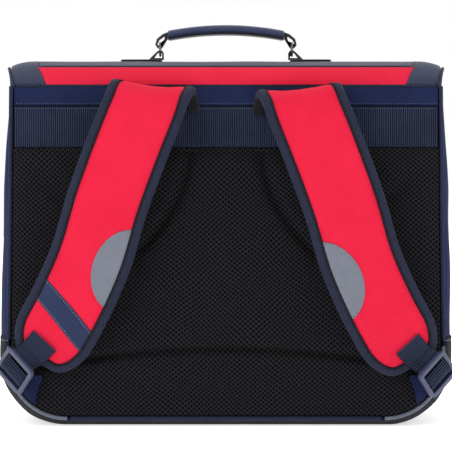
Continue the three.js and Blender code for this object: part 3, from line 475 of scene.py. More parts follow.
def pipe(name, path, finish, slot):
    """One length of piping, which stands for the CAD node of its name"""
    tube = grown(line_object(name + "_cord", [path]), cord_tree, Radius=piping_radius, Sides=12,
                 Finish=finish)
    return fit(tube, slot, name)


for name, (inside, finish, slot) in piping_parts.items():
    pipe(name, back_path[inside], finish, slot)
pipe("piping_front", piping_path(-piping_depth), navy_tape, "navy_cloth")

# Back pad: foam under black spacer mesh, moulded with two spine channels that open downwards
# and one lumbar channel. It is blown up as a cushion and its channels are pressed in after.
pad_thickness = 9 * mm
pad_edge = 2.5 * mm
least_out = 1.2 * mm
foam_growth = 3 * mm
held_depth = 1.5 * mm
held_crown = 0.3
foam_start = pad_thickness - 1.5 * mm
crease_depth = 6 * mm
spine_width = 5.5 * mm
spine_fade = 6 * mm
lumbar_width = 3.4 * mm
spine_half_width = 33 * mm
spine_flare = 46 * mm
spine_length = 94 * mm
lumbar_height = 68 * mm
lumbar_drop = 21 * mm
band_height = 37 * mm
cloth_band_height = 17 * mm
hole_pitch = 4.7 * mm
hole_rows = 2.08 * mm
pad_top = rim_height - cloth_band_height - band_height - gap
seam_room = 2 * piping_radius + 2 * gap
pad_bottom = seam_rise + seam_room
pad_radius = corner_radius - seam_room


def pad_half_width(z):
    """Half the pad's width at a height, with its round lower corners"""
    rise = np.clip(z - pad_bottom, 0, pad_radius)
    cut = pad_radius - np.sqrt(np.maximum(0, pad_radius ** 2 - (pad_radius - rise) ** 2))
    return back_half_width - seam_room - cut + base_flare * (1 - z / rim_height)


def pad_grid(rows, columns):
    """Places on the pad's outline plane, close together along its edges"""
    z = pad_bottom + (pad_top - pad_bottom) * (1 - np.cos(np.linspace(0, math.pi, rows))) / 2
    z = (z + np.linspace(pad_bottom, pad_top, rows)) / 2
    across = np.sin(np.linspace(-math.pi / 2, math.pi / 2, columns))
    across = (across + np.linspace(-1, 1, columns)) / 2
    return across[None, :] * pad_half_width(z)[:, None], np.repeat(z[:, None], columns, axis=1)


def pad_crown(x, z):
    """The foam's fullness, from 0 at the seam to 1 inside"""
    flared = back_half_width - seam_room + base_flare * (1 - z / rim_height)
    over_x = np.abs(x) - (flared - pad_radius)
    over_z = pad_bottom + pad_radius - z
    straight = np.minimum(np.minimum(flared - np.abs(x), z - pad_bottom), (pad_top - z) * 2)
    inside = np.where((over_x > 0) & (over_z > 0), pad_radius - np.hypot(over_x, over_z), straight)
    return np.sqrt(np.clip(inside / (3 * pad_thickness), 0, 1))


def at_depth(x, out, z):
    """Grid of points that stand out by that much from the board towards the wearer"""
    return np.stack([x, board_face - gap - out, z], axis=2)


def blown_up(piece, voxel, pressure, cap, holds):
    """Remeshes the piece and blows it up with Cloth; holds(points) says which points stay"""
    remesh = piece.modifiers.new("remesh", "REMESH")
    remesh.mode = "VOXEL"
    remesh.voxel_size = voxel
    mesh = plain(piece, remesh).data
    start = np.array([vertex.co for vertex in mesh.vertices])
    held = piece.vertex_groups.new(name="held")
    held.add([int(i) for i in np.nonzero(holds(start))[0]], 1.0, "ADD")
    modifier = piece.modifiers.new("cloth", "CLOTH")
    cloth_settings = {"vertex_group_mass": "held", "quality": 6, "tension_stiffness": 12,
                      "compression_stiffness": 12, "bending_stiffness": 0.6,
                      "use_pressure": True, "uniform_pressure_force": pressure}
    for key, value in cloth_settings.items():
        setattr(modifier.settings, key, value)
    modifier.settings.effector_weights.gravity = 0
    for moment in range(1, 21):
        bpy.context.scene.frame_set(moment)
    seen = piece.evaluated_get(bpy.context.evaluated_depsgraph_get())
    end = np.array([vertex.co for vertex in seen.data.vertices])
    piece.modifiers.remove(modifier)
    bpy.context.scene.frame_set(1)
    move = end - start
    far = np.maximum(np.linalg.norm(move, axis=1, keepdims=True), 1e-9)
    start = start + move * np.minimum(1, cap / far)
    mesh.vertices.foreach_set("co", start.ravel())
    return start, [tuple(polygon.vertices) for polygon in mesh.polygons]


rough_x, rough_z = pad_grid(60, 90)
foam_depth = pad_edge + (foam_start - pad_edge) * pad_crown(rough_x, rough_z)
foam = two_faced("foam", at_depth(rough_x, foam_depth, rough_z),
                 at_depth(rough_x, 0 * rough_x, rough_z), lining)


def foam_held(points):
    """Which points of the foam stay: those at the board and those near the seam"""
    near_board = points[:, 1] > board_face - gap - held_depth
    return near_board | (pad_crown(points[:, 0], points[:, 2]) < held_crown)


foam_points, foam_faces = blown_up(foam, voxel=4 * mm, pressure=4.0, cap=foam_growth,
                                   holds=foam_held)
foam_tree = BVHTree.FromPolygons(foam_points.tolist(), foam_faces)
bpy.data.objects.remove(foam)
pad_x, pad_z = pad_grid(190, 260)


def foam_out(x, z):
    """How far the blown foam stands out from the board at a place"""
    hit = foam_tree.ray_cast(Vector((x, -0.3, z)), Vector((0, 1, 0)))[0]
    return 0.0 if hit is None else max(0.0, board_face - gap - hit.y)


blown = np.array([[foam_out(x, z) for x, z in zip(*row)] for row in zip(pad_x, pad_z)])
crown = pad_crown(pad_x, pad_z)
blown = np.maximum(blown, pad_edge + (pad_thickness - 2 * mm - pad_edge) * crown)
below_top = np.clip(pad_top - pad_z, 0, spine_length)
from_spine = np.abs(np.abs(pad_x) - spine_half_width - spine_flare * (below_top / spine_length) ** 2)
in_spine = 1 / (1 + np.exp((pad_top - pad_z - spine_length * 1.02) / spine_fade))
lumbar_z = lumbar_height - lumbar_drop * (pad_x / back_half_width) ** 2
from_lumbar = np.abs(pad_z - lumbar_z)
channel = np.maximum(in_spine * np.exp(-(from_spine / spine_width) ** 2),
                     np.exp(-(from_lumbar / lumbar_width) ** 2))
pad_out = np.maximum(blown - crease_depth * channel * crown, least_out)
pad_out = pad_out * (1 - 0.5 * (1 - np.minimum(1, crown * 3)))


def spacer_mesh(tree, want_height):
    """Staggered round holes between thick yarns, from the real pitch on Object coordinates"""
    place = add_node(tree, "ShaderNodeTexCoord")
    drift = add_node(tree, "ShaderNodeTexNoise", {"Scale": 1 / (45 * mm), "Detail": 1},
                     {"Vector": place.outputs["Object"]})
    stretched = add_node(tree, "ShaderNodeVectorMath", {
        "operation": "MULTIPLY_ADD", 1: (8 * mm, 8 * mm, 8 * mm)},
        {0: drift.outputs["Color"], 2: place.outputs["Object"]})
    cells = []
    for shift in (0.0, 0.5):
        cell = stretched
        for step in (
                {"operation": "MULTIPLY_ADD", 1: (1 / hole_pitch, 0, 0.5 / hole_rows),
                 2: (shift, 0, shift)},
                {"operation": "FRACTION"},
                {"operation": "SUBTRACT", 1: (0.5, 0, 0.5)},
                {"operation": "MULTIPLY", 1: (hole_pitch / mm, 0, 2 * hole_rows / mm)},
                {"operation": "LENGTH"}):
            cell = add_node(tree, "ShaderNodeVectorMath", step, {0: cell.outputs[0]})
        cells.append(cell.outputs["Value"])
    nearest = add_node(tree, "ShaderNodeMath", {"operation": "MINIMUM"}, dict(enumerate(cells)))
    yarn = add_node(tree, "ShaderNodeMapRange", {
        "interpolation_type": "SMOOTHSTEP", "From Min": 0.7, "From Max": 1.5}, {0: nearest.outputs[0]})
    if want_height:
        return yarn.outputs[0]
    mix = add_node(tree, "ShaderNodeMix", {
        "data_type": "RGBA", 6: linear("#020203"), 7: linear("#232327")}, {0: yarn.outputs[0]})
    return mix.outputs[2]


# Polyester spacer mesh, warp-knitted 3 mm thick: soft black yarns that catch some light round
# holes that show only shadow
mesh_fabric = new_finish("Black spacer mesh", {
    "Roughness": 0.85, "Sheen Weight": 0.02, "Specular IOR Level": 0.06},
    colour=lambda tree: spacer_mesh(tree, False),
    height=lambda tree: spacer_mesh(tree, True), depth=0.5 * mm)
pad = two_faced("back_pad_mesh", at_depth(pad_x, pad_out, pad_z),
                at_depth(pad_x, 0 * pad_x, pad_z), mesh_fabric)
fit(pad, "black_mesh", "back_pad")

# Webbing band: a wide ribbed navy strap material laid flat across the back, with ribs that run
# up and down 1.9 mm apart; it is sewn down along its upper edge and tucked behind the pad.
# The nylon is nearly matt, with painted shade between the ribs and painted light on them
rib_pitch = 1.9 * mm
rib_radius = 0.62 * mm
rib_end = 0.4 * mm
band_thickness = 2 * mm
back_seam = back_half_width - seam_room
seam_end = 3 * mm
# One nylon in two copies: darker as painted shade between the ribs, lighter as painted light on them
shaded_webbing_nylon = woven("Navy nylon webbing in painted shade", "#0f111a", "#171a26", 0.8 * mm, roughness=0.7,
                      sheen=0.02, slub=0.8)
lit_rib_nylon = woven("Webbing rib in painted light", "#242a40", "#38405b", 0.8 * mm, roughness=0.6,
                   sheen=0.05, slub=0.8)


def band_grid(foot, height, out, rows=12, columns=190, rounding=2 * mm):
    """Flat band across the back that thins to its edges"""
    x, z = np.meshgrid(np.linspace(-back_seam, back_seam, columns),
                       foot + height * (1 - np.cos(np.linspace(0, math.pi, rows))) / 2)
    from_edge = np.minimum(back_seam - np.abs(x), np.minimum(z - foot, foot + height - z))
    return at_depth(x, out * (0.5 + 0.5 * np.sqrt(np.clip(from_edge / rounding, 0, 1))), z)


def flat_band(name, foot, height, out, finish, sag=0.0):
    """A band sewn flat across the back"""
    front = band_grid(foot, height, out)
    if sag:
        front = slack(front, sag, span=40 * mm, seed=5)
    return two_faced(name, front, band_grid(foot, height, 0), finish)


band_foot = pad_top + gap
webbing_band = flat_band("webbing_band_cloth", band_foot, band_height - gap,
                         band_thickness - 1.2 * rib_radius, shaded_webbing_nylon)
fit(webbing_band, "navy_webbing", "webbing_band")
rib_out = board_face - gap - band_thickness + rib_radius
rib_x = np.arange(-back_seam + rib_pitch, back_seam - rib_pitch / 2, rib_pitch)
rib_z = [band_foot + 0.5 * mm, band_foot + band_height - 1.2 * mm]


def webbing_ribs(name, runs):
    """The raised ribs of a piece of webbing, each a run of cord in the nylon's painted-light copy"""
    ribs = grown(line_object(name, runs), cord_tree, Radius=rib_radius, Sides=7, Finish=lit_rib_nylon)
    return fit(ribs, "navy_webbing")


webbing_ribs("webbing_band_ribs", [[(x, rib_out, z) for z in rib_z] for x in rib_x])

# Cloth band: a strip of navy oxford above it, turned in at its edges and sewn twice
cloth_foot = band_foot + band_height
cloth_band = flat_band("cloth_band_cloth", cloth_foot, cloth_band_height - gap, band_thickness,
                       navy_oxford, sag=0.5 * mm)
fit(cloth_band, "navy_cloth", "cloth_band")
seam_x = np.linspace(-back_seam + seam_end, back_seam - seam_end, 80)


def across_back(z, out):
    """A seam across the whole back at a height, standing out from the board"""
    return [(x, board_face - gap - out, z) for x in seam_x]


sew("band_stitches", [across_back(band_foot + band_height - 2.6 * mm, band_thickness)], navy_thread,
    "navy_webbing")
sew("cloth_band_stitches", [across_back(cloth_foot + 2 * mm, band_thickness - 0.2 * mm)], navy_thread,
    "navy_cloth")
sew("pad_stitches", [across_back(pad_top - 2.2 * mm, pad_edge + 1.3 * mm)], black_thread, "black_mesh")

# Flap: coated navy cloth on a thin board, sewn to the back rim; it arches over the opening and
# hangs down the front, where two clasps hold it
flap_wall = 2 * mm
flap_rise = 28 * mm
flap_fall = 184 * mm
flap_rear = back_half_width - 7 * mm
flap_front = back_half_width + 13 * mm
flap_droop = 6 * mm
droop_reach = 20 * mm
front_taper = 22 * mm
flap_wrinkle = 1 * mm
facing = 1.2 * mm
red_rear = flap_rear - 26 * mm
red_top = flap_rear - 17 * mm
rear_share = 0.002
red_share = 0.062
trim_shares = (red_share + 0.0017, red_share + 0.007)
corner_share = 0.12
handle_share = 0.27
binding_radius = 1.5 * mm
flap_profile = [
    {"depth": -0.99, "rise": 0.03, "fall": 0}, {"depth": -0.93, "rise": 0.3, "fall": 0},
    {"depth": -0.77, "rise": 0.67, "fall": 0}, {"depth": -0.37, "rise": 0.93, "fall": 0},
    {"depth": 0, "rise": 1, "fall": 0}, {"depth": 0.37, "rise": 0.97, "fall": 0},
    {"depth": 0.77, "rise": 0.72, "fall": 0}, {"depth": 1.01, "rise": 0.3, "fall": 0},
    {"depth": 1.08, "rise": 0, "fall": 0.05}, {"depth": 1.1, "rise": 0, "fall": 0.35},
    {"depth": 1.1, "rise": 0, "fall": 0.7}, {"depth": 1.09, "rise": 0, "fall": 1},
]


def smooth_route(points, steps=60):
    """Centripetal Catmull-Rom through the points: its place, direction and whole length"""
    points = np.array(points, float)
    full = np.concatenate([[2 * points[0] - points[1]], points, [2 * points[-1] - points[-2]]])
    t = np.linspace(0, 1, steps, endpoint=False)[:, None]
    runs = []
    for a, b, c, d in zip(full, full[1:], full[2:], full[3:]):
        ab, bc, cd = (math.sqrt(np.linalg.norm(q - p)) for p, q in ((a, b), (b, c), (c, d)))
        start = ((b - a) / ab - (c - a) / (ab + bc) + (c - b) / bc) * bc
        end = ((c - b) / bc - (d - b) / (bc + cd) + (d - c) / cd) * bc
        runs.append((2 * t ** 3 - 3 * t ** 2 + 1) * b + (t ** 3 - 2 * t ** 2 + t) * start
                    + (3 * t ** 2 - 2 * t ** 3) * c + (t ** 3 - t ** 2) * end)
    line = np.concatenate(runs + [points[-1:]])
    lengths = np.concatenate([[0], np.cumsum(np.linalg.norm(np.diff(line, axis=0), axis=1))])
    headings = np.gradient(line, lengths, axis=0)
    headings /= np.linalg.norm(headings, axis=1, keepdims=True)

    def at(where, table=line):
        where = np.clip(where, 0, lengths[-1])
        return np.stack([np.interp(where, lengths, table[:, i]) for i in range(3)], axis=-1)

    return at, lambda where: at(where, headings), lengths[-1]


flap_place, flap_heading, flap_length = smooth_route(
    [(0, row["depth"] * body_depth / 2, rim_height + flap_rise * row["rise"] - flap_fall * row["fall"])
     for row in flap_profile])


def flap_half_width(share):
    """Half the flap's width, which widens over the top and narrows at the front edge"""
    flare = np.minimum(1, share / 0.45) ** 0.6
    front = np.maximum(0, share - 0.9) / 0.1
    return flap_rear + (flap_front - flap_rear) * flare - front_taper * front ** 2


def flap_grid(share, x, lift):
    """Points over the flap at shares of its profile and at x, lifted off its outer face"""
    place = flap_place(share * flap_length)
    heading = flap_heading(share * flap_length)
    out = np.stack([0 * share, -heading[..., 2], heading[..., 1]], axis=-1)
    from_edge = np.maximum(0, flap_half_width(share) - np.abs(x))
    on_top = np.sin(math.pi * np.minimum(1, share / 0.5)) ** 0.7
    droop = flap_droop * on_top * np.maximum(0, 1 - from_edge / droop_reach) ** 2
    grid = place + out * (lift - droop)[..., None]
    grid[..., 0] = x
    return grid


def grain(tree, size):
    """Height of leather grain: small cells of uneven size with creases between them"""
    place = add_node(tree, "ShaderNodeTexCoord")
    cells = add_node(tree, "ShaderNodeTexVoronoi", {"feature": "DISTANCE_TO_EDGE", "Scale": 1 / size},
                     {"Vector": place.outputs["Object"]})
    soft = add_node(tree, "ShaderNodeMapRange", {"From Max": 0.22}, {0: cells.outputs[0]})
    return soft.outputs[0]


def leather(name, low, high, roughness, size=1.1 * mm, depth=0.12 * mm):
    """Coated leather cloth: a creased grain, and a tone that drifts with handling"""
    return new_finish(name, {"Roughness": roughness, "Specular IOR Level": 0.35},
                      colour=lambda tree: uneven(tree, low, high, 25 * mm),
                      height=lambda tree: grain(tree, size), depth=depth)


# Polyurethane-coated cloths: the corners have a fine leather-like grain and a soft satin glare,
# and the flap itself is duller, with a weave and a pale bloom at grazing angles
navy_leather = leather("Navy coated leather cloth", "#1b2441", "#242e4e", 0.45)
flap_cloth = woven("Coated navy flap cloth", "#262b40", "#33384f", 1.3 * mm, roughness=0.6,
                   sheen=0.3, slub=1.2, depth=0.25)
share, across = np.meshgrid(
    np.linspace(0, 1, 150), np.sin(np.linspace(-math.pi / 2, math.pi / 2, 110)), indexing="ij")
flap_x = across * flap_half_width(share)
waves = np.array([[noise.noise(Vector((x * 22, s * 7, 4.0))) for x, s in zip(*row)]
                  for row in zip(flap_x, share)])
seated = np.clip((share - corner_share) / 0.1, 0, 1) * np.clip((1 - np.abs(across)) / 0.2, 0, 1)
on_handle = np.exp(-((share - handle_share) / 0.09) ** 2)
flap_outer = flap_grid(share, flap_x, flap_wrinkle * (waves - 0.4) * seated * (1 - on_handle))
flap = two_faced("flap_cloth", flap_outer, flap_grid(share, flap_x, 0 * share - flap_wall),
                 flap_cloth)
fit(flap, "navy_cloth", "flap_panel")


def facing_piece(name, shares, inner_edge, outer_edge, finish, seat=gap, puff=0.0, columns=160,
                 rows=14):
    """A thin facing on the flap between two shares of its profile and two limits across"""
    share, step = np.meshgrid(np.linspace(*shares, rows), np.linspace(0, 1, columns),
                              indexing="ij")
    left, right = inner_edge(share), outer_edge(share)
    x = left + (right - left) * step
    along = (share - shares[0]) / (shares[1] - shares[0])
    edge = np.minimum(np.minimum(along, 1 - along) * 6, np.minimum(step, 1 - step) * 60)
    lift = (seat + facing * (0.35 + 0.65 * np.sqrt(np.clip(edge, 0, 1)))
            + puff * np.sin(math.pi * along))
    top = flap_grid(share, x, lift)
    return two_faced(name, top, flap_grid(share, x, 0 * share + seat), finish), top


def red_half_width(share):
    """Half the width of the red panel, which widens towards the top"""
    return red_rear + (red_top - red_rear) * np.minimum(1, share / red_share)


# Red rear panel of the flap: red oxford with both long edges turned in, a piece of navy leather
# cloth at each end, and a narrow navy trim sewn along its upper edge
flap_red, red_face = facing_piece("flap_red_cloth", (rear_share, red_share),
                                  lambda s: -red_half_width(s), red_half_width, red_oxford,
                                  puff=0.5 * mm)
fit(flap_red, "red_cloth", "flap_red_panel")
flap_trim, _ = facing_piece("flap_trim_cloth", trim_shares, lambda s: -red_half_width(s),
                            red_half_width, navy_leather, rows=4)
fit(flap_trim, "navy_cloth", "flap_trim")
hands = {"left": -1, "right": 1}
for hand, side in hands.items():
    corner, corner_face = facing_piece(
        f"flap_corner_leather_{hand}", (rear_share, corner_share),
        lambda s: side * (red_half_width(s) + gap), lambda s: side * (flap_half_width(s) - gap),
        navy_leather, seat=2 * gap, columns=24, rows=30)
    fit(corner, "navy_leather", f"flap_corner_{hand}")
    sew(f"flap_corner_stitches_{hand}", [corner_face[:, 2] + [0, -0.2 * mm, 0.2 * mm]], navy_thread,
        "navy_leather", pitch=2.4 * mm, length=1.8 * mm, thickness=0.45 * mm)
red_thread = thread_finish("Red bonded thread", "#c8102c")
sew("flap_red_stitches", [red_face[2, 2:-2], red_face[-3, 2:-2]], red_thread, "red_cloth",
    pitch=2.6 * mm, length=2 * mm, thickness=0.4 * mm)


def flap_line(share, across, inset, lift):
    """Points on the flap at shares of its profile and of its half width, drawn in by inset"""
    share, across = np.broadcast_arrays(share, across)
    return flap_grid(share, across * (flap_half_width(share) - inset), 0 * share + lift)


lip = binding_radius + gap
side_edges = [flap_line(np.linspace(0, 1, 90), side, 0, -flap_wall / 2) for side in (-1, 1)]
for side, edge in zip((-1, 1), side_edges):
    edge[:, 0] += side * lip
front_edge = flap_line(1.0, np.linspace(-1, 1, 40), 0, -flap_wall / 2)
front_edge[:, 2] -= lip
binding_run = np.concatenate([side_edges[0][:-1], front_edge, side_edges[1][:-1][::-1]])
flap_binding = grown(line_object("flap_binding_cord", [binding_run]), cord_tree, Radius=binding_radius,
                     Sides=10, Finish=navy_tape)
fit(flap_binding, "navy_cloth", "flap_binding")
side_seams = [flap_line(np.linspace(0.13, 0.96, 140), side, 4 * mm, 0.5 * mm)
              for side in (-1, 1)]
front_seam = flap_line(0.965, np.linspace(-0.95, 0.95, 80), 0, 0.3 * mm)
sew("flap_stitches", side_seams + [front_seam], navy_thread, "navy_cloth")

# Clasps, handle plates and eyes: moulded in black acetal with round edges, smooth and slightly
# glossy over a very fine mould texture


def moulded(name, low, high, roughness, coat, coat_roughness, drift, size):
    """Moulded plastic: a satin body under a thin glossy skin, with a fine mould texture"""
    return new_finish(name, {"Roughness": roughness, "Coat Weight": coat,
                             "Coat Roughness": coat_roughness},
                      colour=lambda tree: uneven(tree, low, high, drift),
                      height=lambda tree: grain(tree, size), depth=0.02 * mm)


acetal = moulded("Black moulded acetal", "#0b0b0d", "#17171b", 0.28, 0.3, 0.12, 9 * mm, 0.7 * mm)


def merge_corners(shape):
    """Corners at the same place become one"""
    bmesh.ops.remove_doubles(shape, verts=shape.verts, dist=1e-6)


def rounded(name, node, round_edge, finish, slot, segments=3, body="satchel"):
    """The CAD node's shape with its corners merged and its edges rounded"""
    def round_off(shape):
        merge_corners(shape)
        bmesh.ops.dissolve_limit(shape, angle_limit=math.radians(2), verts=shape.verts,
                                 edges=shape.edges)
        sharp = [edge for edge in shape.edges if len(edge.link_faces) == 2
                 and edge.calc_face_angle() > math.radians(25)]
        bmesh.ops.bevel(shape, geom=sharp, offset=round_edge, segments=segments, profile=0.6,
                        affect="EDGES", clamp_overlap=True)
        bmesh.ops.triangulate(shape, faces=[face for face in shape.faces if len(face.verts) > 4])

    mesh = bpy.data.meshes.new(name)
    reshape(mesh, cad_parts[node].data, round_off)
    return fit(smooth_piece(name, mesh, finish), slot, node, body=body)


# Each piece, its CAD node, how far its edges are rounded, in how many steps, and its body
moulded_pieces = [
    ("clasp_cover", "clasp", 1.4 * mm, 4, "satchel"),
    ("handle_plate_cover", "handle_plate", 0.5 * mm, 3, "satchel"),
    ("base_eye_cast", "base_eye", 0.25 * mm, 2, "satchel"),
    ("grip_eye_cast", "grip_eye", 0.25 * mm, 2, "handle"),
]
for hand in hands:
    for name, node, round_edge, segments, body in moulded_pieces:
        rounded(f"{name}_{hand}", f"{node}_{hand}", round_edge, acetal, "black_plastic", segments,
                body)

# Rings: bent and welded steel wire with bright nickel plating, an uneven warm grey; they turn in
# the eyes on the hinge line
ring_radius = 6 * mm
ring_wire = 1 * mm
handle_spacing = 121.4 * mm
hinge_height = 338.9 * mm
nickel = new_finish("Nickel plated steel", {"Metallic": 1.0, "Roughness": 0.16},
                    colour=lambda tree: uneven(tree, "#57443f", "#9a928d", 3 * mm))
for hand, side in hands.items():
    loop = [(side * handle_spacing / 2, ring_radius * math.cos(turn),
             hinge_height + ring_radius * math.sin(turn)) for turn in np.linspace(0, 2 * math.pi, 49)]
    ring = grown(line_object(f"ring_wire_{hand}", [loop]), cord_tree, Radius=ring_wire, Sides=10,
                 Finish=nickel)
    reshape(ring.data, ring.data, merge_corners)
    fit(ring, "dark_steel", f"ring_{hand}", body="handle")

# Grip: foam rolled in navy leather cloth, arched, with its two long edges brought together
# underneath and sewn through, so that a thin ragged edge shows along its lower side
grip_length = 107 * mm
grip_height = 9 * mm
grip_width = 20 * mm
grip_lift = 12.6 * mm
grip_arch = 5.2 * mm
grip_end_share = 0.975
seam_lip = 2.2 * mm
grip_leather = leather("Navy grip leather cloth", "#222b4b", "#333e62", 0.36, 1.3 * mm, 0.18 * mm)


def loft(name, rings, finish, sharp=50):
    """A closed solid through rings of points"""
    count, sides = rings.shape[:2]
    at = np.arange(count * sides).reshape(count, sides)
    after = np.roll(at, -1, axis=1)
    quads = np.stack([at[:-1], after[:-1], after[1:], at[1:]], axis=2).reshape(-1, 4)
    faces = [list(quad) for quad in quads] + [list(at[0]), list(at[-1])]
    return build(name, rings.reshape(-1, 3), faces, finish, sharp=sharp)


def grip_height_at(share):
    """Height of the grip's middle line, which arches up between its ends"""
    return hinge_height + grip_lift + grip_arch * (1 - share ** 2)


def grip_rings(shares, width, height, drop, sides=28):
    """Rounded sections along the grip, drawn in a little at both ends"""
    angle = np.linspace(0, 2 * math.pi, sides, endpoint=False)
    rings = []
    for share in shares:
        full = 1 - 0.12 * max(0, (abs(share) - grip_end_share) / (1 - grip_end_share)) ** 2
        soft = 1 - 0.03 * abs(noise.noise(Vector((share * 9, 1.7, 0.4))))
        y = width / 2 * np.sign(np.cos(angle)) * np.abs(np.cos(angle)) ** 0.75 * full
        up = height / 2 * np.sign(np.sin(angle)) * np.abs(np.sin(angle)) ** 0.8 * full * soft
        rings.append(np.stack([np.full(sides, share * grip_length / 2), y,
                               grip_height_at(share) - drop + up], axis=1))
    return np.array(rings)


grip_shares = np.concatenate([[-1], np.linspace(-0.995, 0.995, 70), [1]])
grip = loft("grip_leather", grip_rings(grip_shares, grip_width, grip_height, 0), grip_leather, 60)
fit(grip, "navy_leather", "grip", body="handle")
edge_rings = grip_rings(grip_shares[2:-2], grip_width - 3 * mm, seam_lip,
                        grip_height / 2 - 0.9 * mm)
grip_edge = loft("grip_edge", edge_rings, black_thread)
fit(grip_edge, "navy_leather", body="handle")
grip_seams = [[(share * grip_length / 2, side * (grip_width / 2 - 0.4 * mm),
                grip_height_at(share) - grip_height * 0.3)
               for share in np.linspace(-0.96, 0.96, 60)] for side in (-1, 1)]
sew("grip_stitches", grip_seams, black_thread, "navy_leather", 3.4 * mm, 2.4 * mm, 0.7 * mm,
    body="handle")

# Shoulder straps: foam between red oxford outside and black spacer mesh inside, sewn in behind
# the cloth band, curved out over the back and spreading towards the lower corners
strap_width = 71 * mm
strap_thickness = 12 * mm
strap_stand_off = 40 * mm
strap_drop = 226 * mm
strap_spread = 104 * mm
strap_spacing = 118 * mm
strap_root = 283 * mm
right_strap_drop = 3 * mm
strap_end_round = 36 * mm
strap_end_share = 0.36
strap_edge_round = 10 * mm
soft_gap = 0.5 * mm
binding_width = 8.5 * mm
binding_wall = 1.2 * mm
shaded_root_reach = 25 * mm
strap_slants = {"root": 6, "bend": 12, "end": 14}
strap_rows = [
    {"down": 0, "out": 0, "spread": 0}, {"down": 0, "out": 0.1, "spread": 0},
    {"down": -0.018, "out": 0.3, "spread": 0.005}, {"down": -0.046, "out": 0.56, "spread": 0.03},
    {"down": -0.03, "out": 0.83, "spread": 0.07}, {"down": 0.03, "out": 0.97, "spread": 0.12},
    {"down": 0.108, "out": 1, "spread": 0.19}, {"down": 0.379, "out": 0.96, "spread": 0.41},
    {"down": 0.594, "out": 0.86, "spread": 0.552}, {"down": 0.77, "out": 0.72, "spread": 0.724},
    {"down": 0.896, "out": 0.56, "spread": 0.876}, {"down": 1, "out": 0.42, "spread": 1},
]
band_face = board_face - gap - band_thickness
strap_place, strap_heading, strap_length = smooth_route([
    (-strap_spacing / 2 - strap_spread * row["spread"],
     band_face - 2 * gap - (strap_stand_off - 2 * gap) * row["out"],
     strap_root - strap_drop * row["down"]) for row in strap_rows])
core_inset = binding_wall + soft_gap


def eased(value, low, high):
    """From 0 at low to 1 at high, slow at both ends"""
    step = np.clip((value - low) / (high - low), 0, 1)
    return step * step * (3 - 2 * step)


def strap_frame(length):
    """Place, direction along, direction across and outward direction of the left strap"""
    length = np.asarray(length, float)
    along = strap_heading(length)
    place = strap_place(length) + along * np.maximum(0, length - strap_length)[..., None]
    share = np.minimum(1, length / strap_length)
    slant = np.radians(strap_slants["root"] + strap_slants["bend"] * eased(share, 0.1, 0.4)
                       + strap_slants["end"] * eased(share, 0.4, 1))
    across = np.stack([np.cos(slant), 0 * slant, -np.sin(slant)], axis=-1)
    across -= along * np.sum(across * along, axis=-1, keepdims=True)
    across /= np.linalg.norm(across, axis=-1, keepdims=True)
    return place, along, across, np.cross(along, across)


def on_side(points, side):
    """Points of the left strap, or their mirror image on the right strap, which hangs lower"""
    if side < 0:
        return points
    return points * [-1, 1, 1] - [0, 0, right_strap_drop]


def strap_points(side, length, across, lift):
    """Points of a strap at lengths along it, places across it and lifts off its middle"""
    place, _, to_side, outward = strap_frame(length)
    points = place + to_side * np.asarray(across)[..., None] + outward * np.asarray(lift)[..., None]
    return on_side(points, side)


def strap_half_width(length):
    """Half the strap's width, which rounds off at its lower end"""
    to_end = np.clip((strap_length - length) / strap_end_round, 0, 1)
    rounding = np.sqrt(1 - (1 - to_end) ** 2)
    return strap_width / 2 * (strap_end_share + (1 - strap_end_share) * rounding)


straight = np.linspace(0, strap_length - strap_end_round, 90)[1:]
at_end = strap_length - strap_end_round * (1 - np.cos(np.linspace(math.pi / 2, 0, 22)))[1:]
stations = np.concatenate([straight, at_end])
left_edge = np.stack([stations, -strap_half_width(stations)], axis=1)
strap_edge = np.concatenate([left_edge, (left_edge * [1, -1])[::-1]])
edge_run = (np.concatenate([strap_edge[1:], strap_edge[-1:]])
            - np.concatenate([strap_edge[:1], strap_edge[:-1]]))
edge_run /= np.linalg.norm(edge_run, axis=1, keepdims=True)
edge_inwards = np.stack([-edge_run[:, 1], edge_run[:, 0]], axis=1)


def strap_half_thickness(length, across):
    """Half the strap's thickness: it is drawn in along its bound edge and thinner at its root"""
    start, run = strap_edge[:-1], np.diff(strap_edge, axis=0)
    places = np.stack([length, across], axis=-1).reshape(-1, 1, 2)
    share = np.clip(np.sum((places - start) * run, axis=2) / np.sum(run * run, axis=1), 0, 1)
    nearest = np.linalg.norm(start + share[..., None] * run - places, axis=2).min(axis=1)
    inside = np.maximum(0, nearest.reshape(np.shape(length)) - core_inset)
    at_edge = 0.55 + 0.45 * np.minimum(1, inside / strap_edge_round)
    at_root = 0.55 + 0.45 * eased(length / strap_length, 0, 0.3)
    return strap_thickness / 2 * at_edge * at_root


def strap_core(hand, side):
    """The padded strap: red cloth on its outer face and round its edge, mesh on its inner one"""
    core = strap_edge[:len(stations)] + edge_inwards[:len(stations)] * core_inset
    core = np.concatenate([[[0, core_inset - strap_half_width(0)]], core])
    even = np.linspace(-1, 1, 44)
    share = 0.4 * np.sin(even * math.pi / 2) + 0.6 * even
    length = np.repeat(core[:, :1], len(share), axis=1)
    across = -core[:, 1:] * share
    half = strap_half_thickness(length, across)
    lump = np.array([[noise.noise(Vector((l * 26, a * 26, side))) for l, a in zip(*row)]
                     for row in zip(length, across)])
    inner = np.clip(1 - np.abs(share), 0, 0.3) / 0.3
    front = strap_points(side, length, across, half + 0.25 * mm * lump * inner)
    piece = two_faced(f"strap_cushion_{hand}", front, strap_points(side, length, across, -half),
                      red_oxford)
    piece.data.materials.append(mesh_fabric)
    quads = (front.shape[0] - 1) * (front.shape[1] - 1)
    for polygon in piece.data.polygons[quads:2 * quads]:
        polygon.material_index = 1
    return piece
